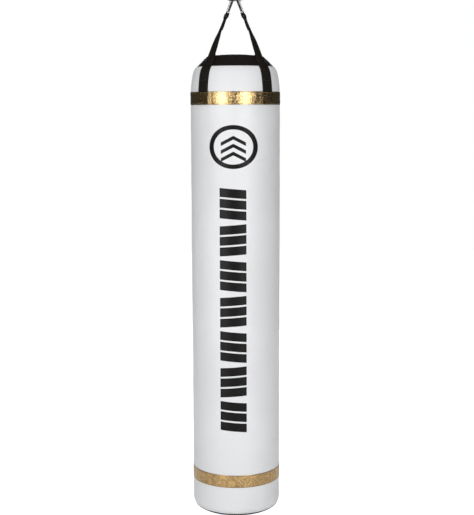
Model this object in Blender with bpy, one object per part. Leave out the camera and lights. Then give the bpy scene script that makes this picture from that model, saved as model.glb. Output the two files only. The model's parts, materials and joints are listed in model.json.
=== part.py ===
"""A tall hanging heavy bag: a stuffed vinyl tube on four webbing straps, snap hooks, a D-ring and a swivel.

Metres, +Z up. The origin is the point where the swivel's upper eye hangs on the ceiling hook.
The bag's front faces -Y.
"""

import math

import bmesh
import bpy
from mathutils import Matrix, Vector

# ---------------------------------------------------------------- driving dimensions

BAG_RADIUS = 0.1778
BAG_HEIGHT = 1.845
GAP = 0.0003
ROUND = 48
INNER_ROUND = 24

# Cover
VINYL = 0.0016
SHOULDER_DEPTH = 0.5624 * BAG_RADIUS
SHOULDER_INSET = 0.128 * BAG_RADIUS
SHOULDER_STATIONS = (0.0, 0.25, 0.45, 0.62, 0.77, 0.89, 1.0)
COLLAR_HEIGHT = 0.045
COLLAR_TOP_RADIUS = 0.63 * BAG_RADIUS
COLLAR_TUCK = 0.010
BAND_WIDTH = 0.0508
BAND_THICKNESS = 0.0010
UPPER_BAND_BELOW_TOP = COLLAR_HEIGHT + SHOULDER_DEPTH - 0.002
LOWER_BAND_ABOVE_BOTTOM = 0.1262
CORNER_RADIUS = 0.038
BLACK_FROM_DEG = 40.0
PIPING_RADIUS = 0.0028

# Top closure
LID_DEPTH = 0.006
ZIP_LENGTH = 0.160
ZIP_TAPE_WIDTH = 0.028
ZIP_TAPE = 0.0008
TAPE_BEYOND_TEETH = 0.008
TEETH_WIDTH = 0.005
TEETH_RISE = 0.0008
SLIDER_LENGTH = 0.012
SLIDER_WIDTH = 0.009
SLIDER_BASE = 0.0026
BRIDGE_POST = 0.0016
BRIDGE_WIDTH = 0.0030
BRIDGE_SPAN = 0.0048
BRIDGE_RISE = 0.0037
PULL_LENGTH = 0.028
PULL_WIDTH = 0.0080
PULL_THICKNESS = 0.0014
PULL_WINDOW = 0.0052
PULL_WINDOW_PLAY = 0.0012
PULL_BAR = 0.0014

# Filling
FOAM = 0.020
FILL_TOP = 0.062
SAND_RADIUS = 0.060
SAND_BAGS = 4
SAND_TOP = 0.180
SAND_ABOVE_BOTTOM = 0.345
SAND_HEIGHT = (BAG_HEIGHT - SAND_TOP - SAND_ABOVE_BOTTOM) / SAND_BAGS
PLUG_HEIGHT = 0.060

# Webbing straps
WEBBING_WIDTH = 0.0508
WEBBING = 0.0018
FOLDED_WIDTH = WEBBING_WIDTH / 2 - 0.0004
STRAP_AZIMUTH_DEG = 45.0
STRAP_LEAVES_AT = SHOULDER_STATIONS[-2]
STRAP_BELOW_BAND_TOP = 0.045
STRAP_STRIPS = 6
FREE_STEPS = 8
PLIES_FROM = 1 / FREE_STEPS
FOLDED_BY = 0.75
STRAP_RISE = 1.2092 * BAG_RADIUS

# Snap hooks
HOOK_WIRE = 0.0030
HOOK_HEIGHT = 2.96 * FOLDED_WIDTH
HOOK_FOOT_CORNER = 0.006
HOOK_FOOT_HALF = FOLDED_WIDTH / 2 + HOOK_FOOT_CORNER - 0.0005
HOOK_HEAD_HALF = 0.0130
HOOK_HEAD_CORNER = 0.0125
GATE_RADIUS = 0.0026
GATE_FOOT = 0.243 * HOOK_HEIGHT
GATE_LENGTH = 0.446 * HOOK_HEIGHT
GATE_NOSE_GAP = 0.0005
GATE_BAR_ABOVE_PIVOT = 0.0040
TONGUE = 0.0024
TONGUE_HALF_WIDTH = 0.0022
TONGUE_OVERLAP = 0.0020
CHEEK_ABOVE_PIVOT = 0.0024
CHEEK_SLOT_DEPTH = 0.0040
RIVET = 0.0011
RIVET_HEAD = 0.0019
RIVET_HEAD_HEIGHT = 0.0006
HOOK_BAR_GAP = 0.0006
FRONT_HOOK_X = 2.5 * HOOK_WIRE
BACK_HOOK_X = FRONT_HOOK_X + 2.5 * HOOK_WIRE + 0.012 * FOLDED_WIDTH

# Hanging D-ring
RING_WIRE = 0.0040
RING_HALF = BACK_HOOK_X + HOOK_WIRE + 0.0100
RING_CORNER = 0.009

# Swivel
CAGE_EYE_RADIUS = 0.014
CAGE_EYE_WIRE = 0.0045
STEM_RADIUS = 0.0060
NUT_ACROSS = 2.5 * STEM_RADIUS
NUT_HEIGHT = 0.008
THREAD_ABOVE_NUT = 0.0015
WASHER_RADIUS = STEM_RADIUS + 0.0025
WASHER = 0.0020
FLANGE_RADIUS = STEM_RADIUS + 0.0030
FLANGE = 0.0030
CAGE_WINDOW_WIDTH = NUT_ACROSS / math.cos(math.pi / 6) + 0.0011
CAGE_WINDOW_HEIGHT = 0.022
CAGE_WALL = 0.0058
CAGE_WIDTH = CAGE_WINDOW_WIDTH + 2 * CAGE_WALL
CAGE_DEPTH = 2 * (STEM_RADIUS + 0.0020)
CAGE_HEIGHT = 0.036
CAGE_FLOOR = 0.008
LOWER_EYE_RADIUS = 0.011
LOWER_EYE_WIRE = 0.0040
RING_IN_EYE_GAP = 0.0004

# Floor anchor
ANCHOR_WIRE = 0.0030
ANCHOR_HALF = 0.0280
ANCHOR_CORNER = 0.007
PATCH_LENGTH = 0.090
PATCH_WIDTH = 0.050
TAB_DROP = 0.014
TAB_WIDTH = 2 * (ANCHOR_HALF - ANCHOR_CORNER) - 2 * GAP

# ---------------------------------------------------------------- levels, top to bottom

CAGE_EYE_Z = -(CAGE_EYE_RADIUS - CAGE_EYE_WIRE)
CAGE_TOP_Z = CAGE_EYE_Z - CAGE_EYE_RADIUS
WINDOW_BOTTOM_Z = CAGE_TOP_Z - CAGE_HEIGHT + CAGE_FLOOR
CAGE_BOTTOM_Z = WINDOW_BOTTOM_Z - CAGE_FLOOR
WASHER_TOP_Z = WINDOW_BOTTOM_Z + GAP + WASHER
NUT_TOP_Z = WASHER_TOP_Z + GAP + NUT_HEIGHT
STEM_TOP_Z = NUT_TOP_Z + THREAD_ABOVE_NUT
FLANGE_BOTTOM_Z = CAGE_BOTTOM_Z - GAP - FLANGE
LOWER_EYE_Z = FLANGE_BOTTOM_Z - LOWER_EYE_RADIUS - LOWER_EYE_WIRE / 2
LOWER_EYE_BAR_Z = LOWER_EYE_Z - LOWER_EYE_RADIUS
RING_TOP_Z = LOWER_EYE_BAR_Z + LOWER_EYE_WIRE + RING_WIRE + RING_IN_EYE_GAP
RING_BAR_Z = RING_TOP_Z - RING_HALF - RING_CORNER
COLLAR_Z = RING_BAR_Z - STRAP_RISE
WHITE_TOP_Z = COLLAR_Z - COLLAR_HEIGHT
SHOULDER_Z = WHITE_TOP_Z - SHOULDER_DEPTH
UPPER_SEAM_Z = COLLAR_Z - UPPER_BAND_BELOW_TOP - BAND_WIDTH / 2
BOTTOM_Z = COLLAR_Z - BAG_HEIGHT
LOWER_SEAM_Z = BOTTOM_Z + LOWER_BAND_ABOVE_BOTTOM + BAND_WIDTH / 2
CORNER_Z = BOTTOM_Z + CORNER_RADIUS
LID_Z = COLLAR_Z - LID_DEPTH
LINER_RADIUS = BAG_RADIUS - VINYL - GAP
FILL_RADIUS = LINER_RADIUS - FOAM - GAP
PATCH_Z = BOTTOM_Z - GAP - WEBBING
ANCHOR_BAR_Z = PATCH_Z - TAB_DROP
EYE_WALL = 2 * WEBBING
STRAP_HOLE = HOOK_WIRE + GAP
OVERCUT = 0.010
# The band's flats, and not only its corners, clear the straps that run under it.
BAND_INNER_RADIUS = (BAG_RADIUS + WEBBING + 2 * GAP) / math.cos(math.pi / ROUND)

CORNERS = {"fl": (-1, -1), "fr": (1, -1), "bl": (-1, 1), "br": (1, 1)}

# ---------------------------------------------------------------- materials

FINISHES = {
    "white_vinyl": ((0.83, 0.84, 0.86), 0.38, 0.0),
    "black_vinyl": ((0.02, 0.018, 0.018), 0.42, 0.0),
    "gold_foil": ((0.62, 0.42, 0.16), 0.25, 0.9),
    "black_webbing": ((0.022, 0.02, 0.02), 0.8, 0.0),
    "bright_zinc": ((0.72, 0.73, 0.75), 0.22, 1.0),
    "zip_tape": ((0.03, 0.03, 0.03), 0.85, 0.0),
    "foam": ((0.75, 0.72, 0.62), 0.95, 0.0),
    "textile_fill": ((0.42, 0.40, 0.42), 0.95, 0.0),
    "sand_bag": ((0.62, 0.55, 0.42), 0.9, 0.0),
}


def material(finish):
    """The Principled material of one finish, made on first use."""
    if finish in bpy.data.materials:
        return bpy.data.materials[finish]
    colour, roughness, metallic = FINISHES[finish]
    made = bpy.data.materials.new(finish)
    made.use_nodes = True
    shader = made.node_tree.nodes["Principled BSDF"]
    shader.inputs["Base Color"].default_value = (*colour, 1.0)
    shader.inputs["Roughness"].default_value = roughness
    shader.inputs["Metallic"].default_value = metallic
    made.diffuse_color = (*colour, 1.0)
    return made


# ---------------------------------------------------------------- modelling helpers


def place(name, mesh, finish, matrix=None):
    """A smooth-shaded object of this mesh, with its own copy of the finish."""
    obj = bpy.data.objects.new(name, mesh)
    bpy.context.scene.collection.objects.link(obj)
    own = material(finish).copy()
    own.name = f"{name}_{finish}"
    mesh.materials.clear()
    mesh.materials.append(own)
    mesh.shade_smooth()
    mesh.set_sharp_from_angle(angle=math.radians(35))
    if matrix is not None:
        obj.matrix_world = matrix
    return obj


def guide(mesh, matrix=None):
    """A hidden object that only cuts or joins."""
    obj = bpy.data.objects.new("guide", mesh)
    bpy.context.scene.collection.objects.link(obj)
    obj.hide_render = True
    obj.display_type = "WIRE"
    if matrix is not None:
        obj.matrix_world = matrix
    return obj


def mesh_from(bm):
    bmesh.ops.recalc_face_normals(bm, faces=bm.faces)
    mesh = bpy.data.meshes.new("shape")
    bm.to_mesh(mesh)
    bm.free()
    return mesh


def turned(profile, closed=True, segments=ROUND):
    """A profile of (radius, z) points spun about Z: a closed loop, or an open line that ends on the axis."""
    bm = bmesh.new()
    verts = [bm.verts.new((r, 0.0, z)) for r, z in profile]
    pairs = list(zip(verts, verts[1:])) + ([(verts[-1], verts[0])] if closed else [])
    edges = [bm.edges.new(pair) for pair in pairs]
    bmesh.ops.spin(
        bm, geom=verts + edges, cent=(0, 0, 0), axis=(0, 0, 1), angle=math.tau, steps=segments, use_merge=True
    )
    bmesh.ops.remove_doubles(bm, verts=bm.verts, dist=1e-6)
    return mesh_from(bm)


def box(size, centre=(0, 0, 0)):
    bm = bmesh.new()
    bmesh.ops.create_cube(bm, size=1.0, matrix=Matrix.Translation(centre) @ Matrix.Diagonal((*size, 1.0)))
    return mesh_from(bm)


def rod(radius, start, end, segments=16):
    """A cylinder between two points."""
    start, end = Vector(start), Vector(end)
    turn = (end - start).to_track_quat("Z", "Y").to_matrix().to_4x4()
    bm = bmesh.new()
    bmesh.ops.create_cone(
        bm,
        cap_ends=True,
        segments=segments,
        radius1=radius,
        radius2=radius,
        depth=(end - start).length,
        matrix=Matrix.Translation((start + end) / 2) @ turn,
    )
    return mesh_from(bm)


def prism(outline, depth):
    """An (x, z) outline pushed out along Y, centred on Y = 0."""
    bm = bmesh.new()
    face = bm.faces.new([bm.verts.new((x, -depth / 2, z)) for x, z in outline])
    pushed = bmesh.ops.extrude_face_region(bm, geom=[face])["geom"]
    moved = [v for v in pushed if isinstance(v, bmesh.types.BMVert)]
    bmesh.ops.translate(bm, verts=moved, vec=(0, depth, 0))
    return mesh_from(bm)


def wire(points, radius, closed, sides=8):
    """A round bar along 3D points, as a mesh."""
    curve = bpy.data.curves.new("wire", "CURVE")
    curve.dimensions = "3D"
    curve.bevel_depth = radius
    curve.bevel_resolution = sides // 2 - 2
    curve.use_fill_caps = not closed
    line = curve.splines.new("POLY")
    line.points.add(len(points) - 1)
    for point, where in zip(line.points, points):
        point.co = (*where, 1.0)
    line.use_cyclic_u = closed
    holder = guide(curve)
    mesh = evaluated_mesh(holder)
    bpy.data.objects.remove(holder)
    bm = bmesh.new()
    bm.from_mesh(mesh)
    bmesh.ops.remove_doubles(bm, verts=bm.verts, dist=1e-6)
    return mesh_from(bm)


def evaluated_mesh(obj):
    bpy.context.view_layer.update()
    graph = bpy.context.evaluated_depsgraph_get()
    return bpy.data.meshes.new_from_object(obj.evaluated_get(graph), depsgraph=graph)


def combined(base, steps):
    """The mesh of base after joining ("UNION") or cutting ("DIFFERENCE") each further mesh in turn."""
    holder = guide(base)
    tools = []
    for operation, mesh in steps:
        tool = guide(mesh)
        tools.append(tool)
        boolean = holder.modifiers.new("shape", "BOOLEAN")
        boolean.operation = operation
        boolean.object = tool
        boolean.solver = "EXACT"
    mesh = evaluated_mesh(holder)
    for used in [holder, *tools]:
        bpy.data.objects.remove(used)
    return mesh


def arc(centre, radius, start_deg, end_deg, steps):
    """Points on a circular arc in a plane, both ends included."""
    angles = [math.radians(start_deg + (end_deg - start_deg) * i / steps) for i in range(steps + 1)]
    return [(centre[0] + radius * math.cos(a), centre[1] + radius * math.sin(a)) for a in angles]


def rounded(corners, fillets, steps=4):
    """A polyline through the corners, each turned with its fillet radius. The two ends stay sharp."""
    path = [Vector(corners[0])]
    for before, corner, after, radius in zip(corners, corners[1:], corners[2:], fillets):
        corner = Vector(corner)
        to_before = (Vector(before) - corner).normalized()
        to_after = (Vector(after) - corner).normalized()
        half = to_before.angle(to_after) / 2
        reach = radius / math.tan(half)
        centre = corner + (to_before + to_after).normalized() * (radius / math.sin(half))
        start = corner + to_before * reach - centre
        end = corner + to_after * reach - centre
        turn = start.angle_signed(end)
        path += [centre + Matrix.Rotation(-turn * i / steps, 2) @ start for i in range(steps + 1)]
    return path + [Vector(corners[-1])]


def d_outline(half, corner, steps=16):
    """A D in a plane, centred on its straight bar, which lies at height 0."""
    left = arc((-half + corner, corner), corner, 180, 270, 4)
    right = arc((half - corner, corner), corner, 270, 360, 4)
    bow = arc((0, corner), half, 0, 180, steps)
    return left + right + bow[1:-1]


def shell(outer, thickness):
    """A closed profile: the outer line and, going back, the same line moved in by the thickness."""
    return outer + [(r - thickness, z) for r, z in reversed(outer)]


# ---------------------------------------------------------------- cover


def shoulder_radius(z):
    """The white cover's outer radius at a height."""
    share = max(0.0, (z - SHOULDER_Z) / SHOULDER_DEPTH)
    return BAG_RADIUS - SHOULDER_INSET * (0.6 * share**1.5 + 0.4 * share**8)


def shoulder_height(share):
    return SHOULDER_Z + SHOULDER_DEPTH * share


def shoulder_panel():
    heights = [UPPER_SEAM_Z + GAP / 2] + [shoulder_height(share) for share in SHOULDER_STATIONS]
    outer = [(shoulder_radius(z), z) for z in heights]
    place("shoulder_panel", turned(shell(outer, VINYL)), "white_vinyl")


def main_panel():
    outer = [(BAG_RADIUS, UPPER_SEAM_Z - GAP / 2), (BAG_RADIUS, LOWER_SEAM_Z + GAP / 2)]
    place("main_panel", turned(shell(outer, VINYL)), "white_vinyl")


def corner_arc(radius, start_deg, end_deg, steps):
    """Points of the bag's lower corner, from start_deg below the horizontal to end_deg."""
    return arc((BAG_RADIUS - CORNER_RADIUS, CORNER_Z), radius, -start_deg, -end_deg, steps)


def lower_panel():
    end = BLACK_FROM_DEG - math.degrees(PIPING_RADIUS / CORNER_RADIUS)
    outer = [(BAG_RADIUS, LOWER_SEAM_Z - GAP / 2), *corner_arc(CORNER_RADIUS, 0, end, 3)]
    inner = corner_arc(CORNER_RADIUS - VINYL, end, 0, 3) + [(BAG_RADIUS - VINYL, LOWER_SEAM_Z - GAP / 2)]
    place("lower_panel", turned(outer + inner), "white_vinyl")


def bottom_panel():
    start = BLACK_FROM_DEG + math.degrees(PIPING_RADIUS / CORNER_RADIUS)
    outer = corner_arc(CORNER_RADIUS, 90, start, 4)
    inner = corner_arc(CORNER_RADIUS - VINYL, start, 90, 4)
    profile = [(0.0, BOTTOM_Z), *outer, *inner, (0.0, BOTTOM_Z + VINYL)]
    place("bottom_panel", turned(profile, False), "black_vinyl")


def bottom_piping():
    """A round bead between the white cover and the black bottom, held clear of both."""
    bead = PIPING_RADIUS - 2 * GAP
    (r, z) = corner_arc(CORNER_RADIUS - VINYL / 2, BLACK_FROM_DEG, BLACK_FROM_DEG, 1)[0]
    place("bottom_piping", turned(arc((r, z), bead, 0, 315, 7)), "black_vinyl")


def gold_band(name, seam_z, inner_radius):
    outer = inner_radius + BAND_THICKNESS
    low, high = seam_z - BAND_WIDTH / 2, seam_z + BAND_WIDTH / 2
    profile = [(outer, low), (outer, high), (inner_radius, high), (inner_radius, low)]
    place(name, turned(profile), "gold_foil")


def collar():
    foot = shoulder_radius(WHITE_TOP_Z) - VINYL - GAP
    outer = [(foot, WHITE_TOP_Z - COLLAR_TUCK), (foot, WHITE_TOP_Z), (COLLAR_TOP_RADIUS, COLLAR_Z)]
    place("collar", turned(shell(outer, VINYL)), "black_vinyl")


def collar_inner_radius(z):
    foot = shoulder_radius(WHITE_TOP_Z) - VINYL - GAP
    return COLLAR_TOP_RADIUS + (foot - COLLAR_TOP_RADIUS) * (COLLAR_Z - z) / COLLAR_HEIGHT - VINYL


def top_lid():
    radius = collar_inner_radius(LID_Z) - GAP
    disc = turned([(0.0, LID_Z - VINYL), (radius, LID_Z - VINYL), (radius, LID_Z), (0.0, LID_Z)], False)
    slot = box((ZIP_LENGTH + 2 * GAP, TEETH_WIDTH + 2 * GAP, 4 * VINYL), (0, 0, LID_Z))
    place("top_lid", combined(disc, [("DIFFERENCE", slot)]), "black_vinyl")


def zip_tape():
    tape_top = LID_Z - VINYL - GAP
    tape_length = ZIP_LENGTH + 2 * TAPE_BEYOND_TEETH
    tape = box((tape_length, ZIP_TAPE_WIDTH, ZIP_TAPE), (0, 0, tape_top - ZIP_TAPE / 2))
    foot, top = tape_top - ZIP_TAPE / 2, LID_Z + TEETH_RISE
    teeth = box((ZIP_LENGTH, TEETH_WIDTH, top - foot), (0, 0, (top + foot) / 2))
    place("zip_tape", combined(tape, [("UNION", teeth)]), "zip_tape")


SLIDER_X = ZIP_LENGTH / 2 - SLIDER_LENGTH
SLIDER_Z = LID_Z + TEETH_RISE + GAP
PULL_AXIS_Z = SLIDER_Z + SLIDER_BASE + GAP + PULL_THICKNESS / 2


def zip_slider():
    base = box((SLIDER_LENGTH, SLIDER_WIDTH, SLIDER_BASE), (0, 0, SLIDER_BASE / 2))
    half, end = BRIDGE_SPAN / 2, BRIDGE_SPAN / 2 + BRIDGE_POST
    foot, high = SLIDER_BASE / 2, SLIDER_BASE + BRIDGE_RISE
    under = high - 0.6 * BRIDGE_POST
    outline = [
        (-end, foot), (-half, foot), (-half, under), (half, under),
        (half, foot), (end, foot), (end, high), (-end, high),
    ]
    bridge = prism(outline, BRIDGE_WIDTH)
    mesh = combined(base, [("UNION", bridge)])
    place("zip_slider", mesh, "bright_zinc", Matrix.Translation((SLIDER_X, 0, SLIDER_Z)))


def zip_pull():
    """A flat tab whose end bar turns under the slider's bridge; it lies towards -X."""
    bar = PULL_BAR / 2
    tab = box((PULL_LENGTH, PULL_WIDTH, PULL_THICKNESS), (bar - PULL_LENGTH / 2, 0, 0))
    window_size = (PULL_WINDOW, BRIDGE_WIDTH + PULL_WINDOW_PLAY, 4 * PULL_THICKNESS)
    window = box(window_size, (-bar - PULL_WINDOW / 2, 0, 0))
    mesh = combined(tab, [("DIFFERENCE", window)])
    place("zip_pull", mesh, "bright_zinc", Matrix.Translation((SLIDER_X, 0, PULL_AXIS_Z)))


# ---------------------------------------------------------------- filling


def filling():
    top = COLLAR_Z - FILL_TOP
    liner_top = SHOULDER_Z - GAP
    profile = [(LINER_RADIUS, CORNER_Z), (LINER_RADIUS, liner_top), (LINER_RADIUS - FOAM, liner_top)]
    place("foam_liner", turned([*profile, (LINER_RADIUS - FOAM, CORNER_Z)]), "foam")

    foot = BOTTOM_Z + VINYL + 2 * GAP
    core = SAND_RADIUS + GAP
    sand_foot = COLLAR_Z - SAND_TOP - SAND_BAGS * (SAND_HEIGHT + GAP) - GAP
    heel = FILL_RADIUS - CORNER_RADIUS
    profile = [
        (0.0, foot), (heel, foot), (FILL_RADIUS, CORNER_Z), (FILL_RADIUS, top),
        (core, top), (core, sand_foot), (0.0, sand_foot),
    ]
    place("textile_fill", turned(profile, False, INNER_ROUND), "textile_fill")
    for i in range(SAND_BAGS):
        low = sand_foot + GAP + i * (SAND_HEIGHT + GAP)
        place(f"sand_bag_{i + 1}", drum(SAND_RADIUS, low, low + SAND_HEIGHT), "sand_bag")
    low = sand_foot + GAP + SAND_BAGS * (SAND_HEIGHT + GAP)
    place("fill_plug", drum(SAND_RADIUS, low, low + PLUG_HEIGHT), "textile_fill")


def drum(radius, low, high):
    return turned([(0.0, low), (radius, low), (radius, high), (0.0, high)], False, INNER_ROUND)


# ---------------------------------------------------------------- hanging straps and hooks


def radial(sides):
    """The outward direction of a strap."""
    azimuth = math.radians(STRAP_AZIMUTH_DEG)
    return Vector((sides[0] * math.cos(azimuth), sides[1] * math.sin(azimuth), 0.0))


def on_shoulder(sides, z):
    """A strap's middle line where it lies on the cover."""
    return radial(sides) * (shoulder_radius(z) + GAP + WEBBING / 2) + Vector((0, 0, z))


def hook_frame(sides):
    """The hook's own axes and place: X across it, Z up to the D-ring, origin in its foot bar."""
    x = sides[0] * (FRONT_HOOK_X if sides[1] < 0 else BACK_HOOK_X)
    bar = Vector((x, 0.0, RING_BAR_Z))
    leave = on_shoulder(sides, shoulder_height(STRAP_LEAVES_AT))
    up = (bar - leave).normalized()
    across = Vector((0.0, sides[1], 0.0))
    across = (across - across.dot(up) * up).normalized()
    depth = up.cross(across)
    reach = HOOK_HEIGHT - HOOK_WIRE - HOOK_BAR_GAP - RING_WIRE
    turn = Matrix((across, depth, up)).transposed().to_4x4()
    return Matrix.Translation(bar - up * reach) @ turn


def hook_side_x(height):
    return HOOK_FOOT_HALF + (HOOK_HEAD_HALF - HOOK_FOOT_HALF) * height / HOOK_HEIGHT


PIVOT = Vector((hook_side_x(GATE_FOOT), 0.0, GATE_FOOT))
NOSE = Vector((hook_side_x(GATE_FOOT + GATE_LENGTH), 0.0, GATE_FOOT + GATE_LENGTH))


def gate_turn():
    """A matrix that stands Z along the closed gate, from the pivot to the nose."""
    direction = (NOSE - PIVOT).normalized()
    turn = Matrix.Rotation(math.atan2(direction.x, direction.z), 4, "Y")
    return Matrix.Translation(PIVOT) @ turn


def hook_mesh():
    """An open loop of round bar with a slotted foot end for the gate."""
    cheek_top = PIVOT + (NOSE - PIVOT).normalized() * CHEEK_ABOVE_PIVOT
    nose = NOSE + (NOSE - PIVOT).normalized() * GATE_NOSE_GAP
    corners = [
        (cheek_top.x, cheek_top.z), (HOOK_FOOT_HALF, 0), (-HOOK_FOOT_HALF, 0),
        (-HOOK_HEAD_HALF, HOOK_HEIGHT), (HOOK_HEAD_HALF, HOOK_HEIGHT), (nose.x, nose.z),
    ]
    path = rounded(corners, [HOOK_FOOT_CORNER, HOOK_FOOT_CORNER, HOOK_HEAD_CORNER, HOOK_HEAD_CORNER])
    bar = wire([(p.x, 0.0, p.y) for p in path], HOOK_WIRE, closed=False)
    slot_height = CHEEK_ABOVE_PIVOT + CHEEK_SLOT_DEPTH + HOOK_WIRE
    slot = box(
        (4 * HOOK_WIRE, TONGUE + 2 * GAP, slot_height),
        (PIVOT.x, 0, PIVOT.z - CHEEK_SLOT_DEPTH + slot_height / 2),
    )
    past = Vector((0, OVERCUT, 0))
    hole = rod(RIVET + GAP, PIVOT - past, PIVOT + past, 12)
    return combined(bar, [("DIFFERENCE", slot), ("DIFFERENCE", hole)])


def gate_mesh():
    """The spring gate: a round bar with a flat tongue that turns on the rivet. Z runs along it."""
    foot, half = GATE_BAR_ABOVE_PIVOT, TONGUE_HALF_WIDTH
    bar = rod(GATE_RADIUS, (0, 0, foot), (0, 0, (NOSE - PIVOT).length), 12)
    top = foot + TONGUE_OVERLAP
    tongue = prism([(half, top), (-half, top), *arc((0, 0), half, 180, 360, 6)], TONGUE)
    hole = rod(RIVET + GAP, (0, -OVERCUT, 0), (0, OVERCUT, 0), 12)
    return combined(bar, [("UNION", tongue), ("DIFFERENCE", hole)])


def rivet_mesh():
    """A pin across the hook's foot end with a low head at each side."""
    head_in = HOOK_WIRE + GAP
    head_out = head_in + RIVET_HEAD_HEIGHT
    profile = [
        (0.0, -head_out), (RIVET_HEAD, -head_out), (RIVET_HEAD, -head_in), (RIVET, -head_in),
        (RIVET, head_in), (RIVET_HEAD, head_in), (RIVET_HEAD, head_out), (0.0, head_out),
    ]
    return turned(profile, False, 12)


def band_section(centre, across, out, width, thickness, bend):
    """Corner points of the webbing's section: outer face one way, inner face back. bend is 1 / radius."""
    columns = [width * (i / STRAP_STRIPS - 0.5) for i in range(STRAP_STRIPS + 1)]
    mid = [centre + across * s - out * (bend * s * s / 2) for s in columns]
    return [p + out * (thickness / 2) for p in mid] + [p - out * (thickness / 2) for p in reversed(mid)]


def lofted(sections):
    bm = bmesh.new()
    rings = [[bm.verts.new(p) for p in section] for section in sections]
    for low, high in zip(rings, rings[1:]):
        for i in range(len(low)):
            j = (i + 1) % len(low)
            bm.faces.new((low[i], low[j], high[j], high[i]))
    for end in (rings[0], rings[-1]):
        for i in range(STRAP_STRIPS):
            bm.faces.new((end[i], end[i + 1], end[-2 - i], end[-1 - i]))
    return mesh_from(bm)


def lying_sections(sides):
    """The strap on the cover, from under the gold band up to where it leaves the shoulder."""
    out_flat = radial(sides)
    across = Vector((0, 0, 1)).cross(out_flat)
    foot = COLLAR_Z - UPPER_BAND_BELOW_TOP - STRAP_BELOW_BAND_TOP
    heights = [foot] + [shoulder_height(share) for share in SHOULDER_STATIONS[:-1]]
    sections = []
    for z in heights:
        ahead = on_shoulder(sides, z + 0.0005) - on_shoulder(sides, z - 0.0005)
        out = across.cross(ahead).normalized()
        centre = on_shoulder(sides, z)
        sections.append(band_section(centre, across, out, WEBBING_WIDTH, WEBBING, 1 / (BAG_RADIUS + WEBBING)))
    return sections


def free_sections(sides, frame):
    """The strap from the shoulder up to its loop: it turns to the hook and folds to half width."""
    start = on_shoulder(sides, shoulder_height(STRAP_LEAVES_AT))
    up = frame.to_3x3().col[2]
    end = frame.translation - up * (STRAP_HOLE + EYE_WALL / 2)
    across_low = Vector((0, 0, 1)).cross(radial(sides))
    across_high = frame.to_3x3().col[0]
    if across_high.dot(across_low) < 0:
        across_high = -across_high
    sections = []
    for i in range(1, FREE_STEPS + 1):
        share = i / FREE_STEPS
        turn = share * share * (3 - 2 * share)
        across = across_low.lerp(across_high, turn)
        across = (across - across.dot(up) * up).normalized()
        folded = min(1.0, share / FOLDED_BY)
        stacked = min(1.0, (share - PLIES_FROM) / (FOLDED_BY - PLIES_FROM))
        width = WEBBING_WIDTH + (FOLDED_WIDTH - WEBBING_WIDTH) * folded
        thickness = WEBBING * (1 + 3 * stacked)
        bend = (1 - min(1.0, share / 0.3)) / BAG_RADIUS
        centre = start.lerp(end, share)
        sections.append(band_section(centre, across, across.cross(up), width, thickness, bend))
    return sections


def strap(tag, sides):
    frame = hook_frame(sides)
    band = lofted(lying_sections(sides) + free_sections(sides, frame))
    along = frame.to_3x3().col[0] * (FOLDED_WIDTH / 2)
    foot = frame.translation
    loop = rod(STRAP_HOLE + EYE_WALL, foot - along, foot + along, 20)
    hole = rod(STRAP_HOLE, foot - 2 * along, foot + 2 * along, 16)
    place(f"strap_{tag}", combined(band, [("UNION", loop), ("DIFFERENCE", hole)]), "black_webbing")


def hooks_and_straps():
    hook, gate, rivet = hook_mesh(), gate_mesh(), rivet_mesh()
    lie_across = Matrix.Rotation(math.pi / 2, 4, "X")
    for tag, sides in CORNERS.items():
        frame = hook_frame(sides)
        place(f"hook_{tag}", hook.copy(), "bright_zinc", frame)
        place(f"gate_{tag}", gate.copy(), "bright_zinc", frame @ gate_turn())
        place(f"rivet_{tag}", rivet.copy(), "bright_zinc", frame @ Matrix.Translation(PIVOT) @ lie_across)
        strap(tag, sides)


# ---------------------------------------------------------------- D-ring and swivel


def hang_ring():
    outline = d_outline(RING_HALF, RING_CORNER)
    mesh = wire([(x, 0.0, z) for x, z in outline], RING_WIRE, closed=True)
    lift = RING_BAR_Z - LOWER_EYE_BAR_Z
    mesh.transform(Matrix.Translation((0, 0, lift)))
    place("hang_ring", mesh, "bright_zinc", Matrix.Translation((0, 0, LOWER_EYE_BAR_Z)))


def eye_ring(radius, wire_radius, z, turn_deg, segments=20):
    """A round eye that stands upright; turn_deg 0 faces it along Y, 90 along X."""
    mesh = turned(arc((radius, 0), wire_radius, 0, 315, 7), segments=segments)
    stand = Matrix.Rotation(math.pi / 2, 4, "X")
    mesh.transform(Matrix.Translation((0, 0, z)) @ Matrix.Rotation(math.radians(turn_deg), 4, "Z") @ stand)
    return mesh


def swivel_cage():
    """The swivel's fixed half: an upper eye on a window frame with a bored floor."""
    frame = box((CAGE_WIDTH, CAGE_DEPTH, CAGE_HEIGHT), (0, 0, CAGE_TOP_Z - CAGE_HEIGHT / 2))
    window_z = WINDOW_BOTTOM_Z + CAGE_WINDOW_HEIGHT / 2
    window = box((CAGE_WINDOW_WIDTH, 2 * CAGE_DEPTH, CAGE_WINDOW_HEIGHT), (0, 0, window_z))
    bore = rod(STEM_RADIUS + GAP, (0, 0, CAGE_BOTTOM_Z - OVERCUT), (0, 0, WINDOW_BOTTOM_Z + OVERCUT), 24)
    eye = eye_ring(CAGE_EYE_RADIUS, CAGE_EYE_WIRE, CAGE_EYE_Z, 0, 24)
    mesh = combined(frame, [("UNION", eye), ("DIFFERENCE", window), ("DIFFERENCE", bore)])
    place("swivel_cage", mesh, "bright_zinc")


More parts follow.
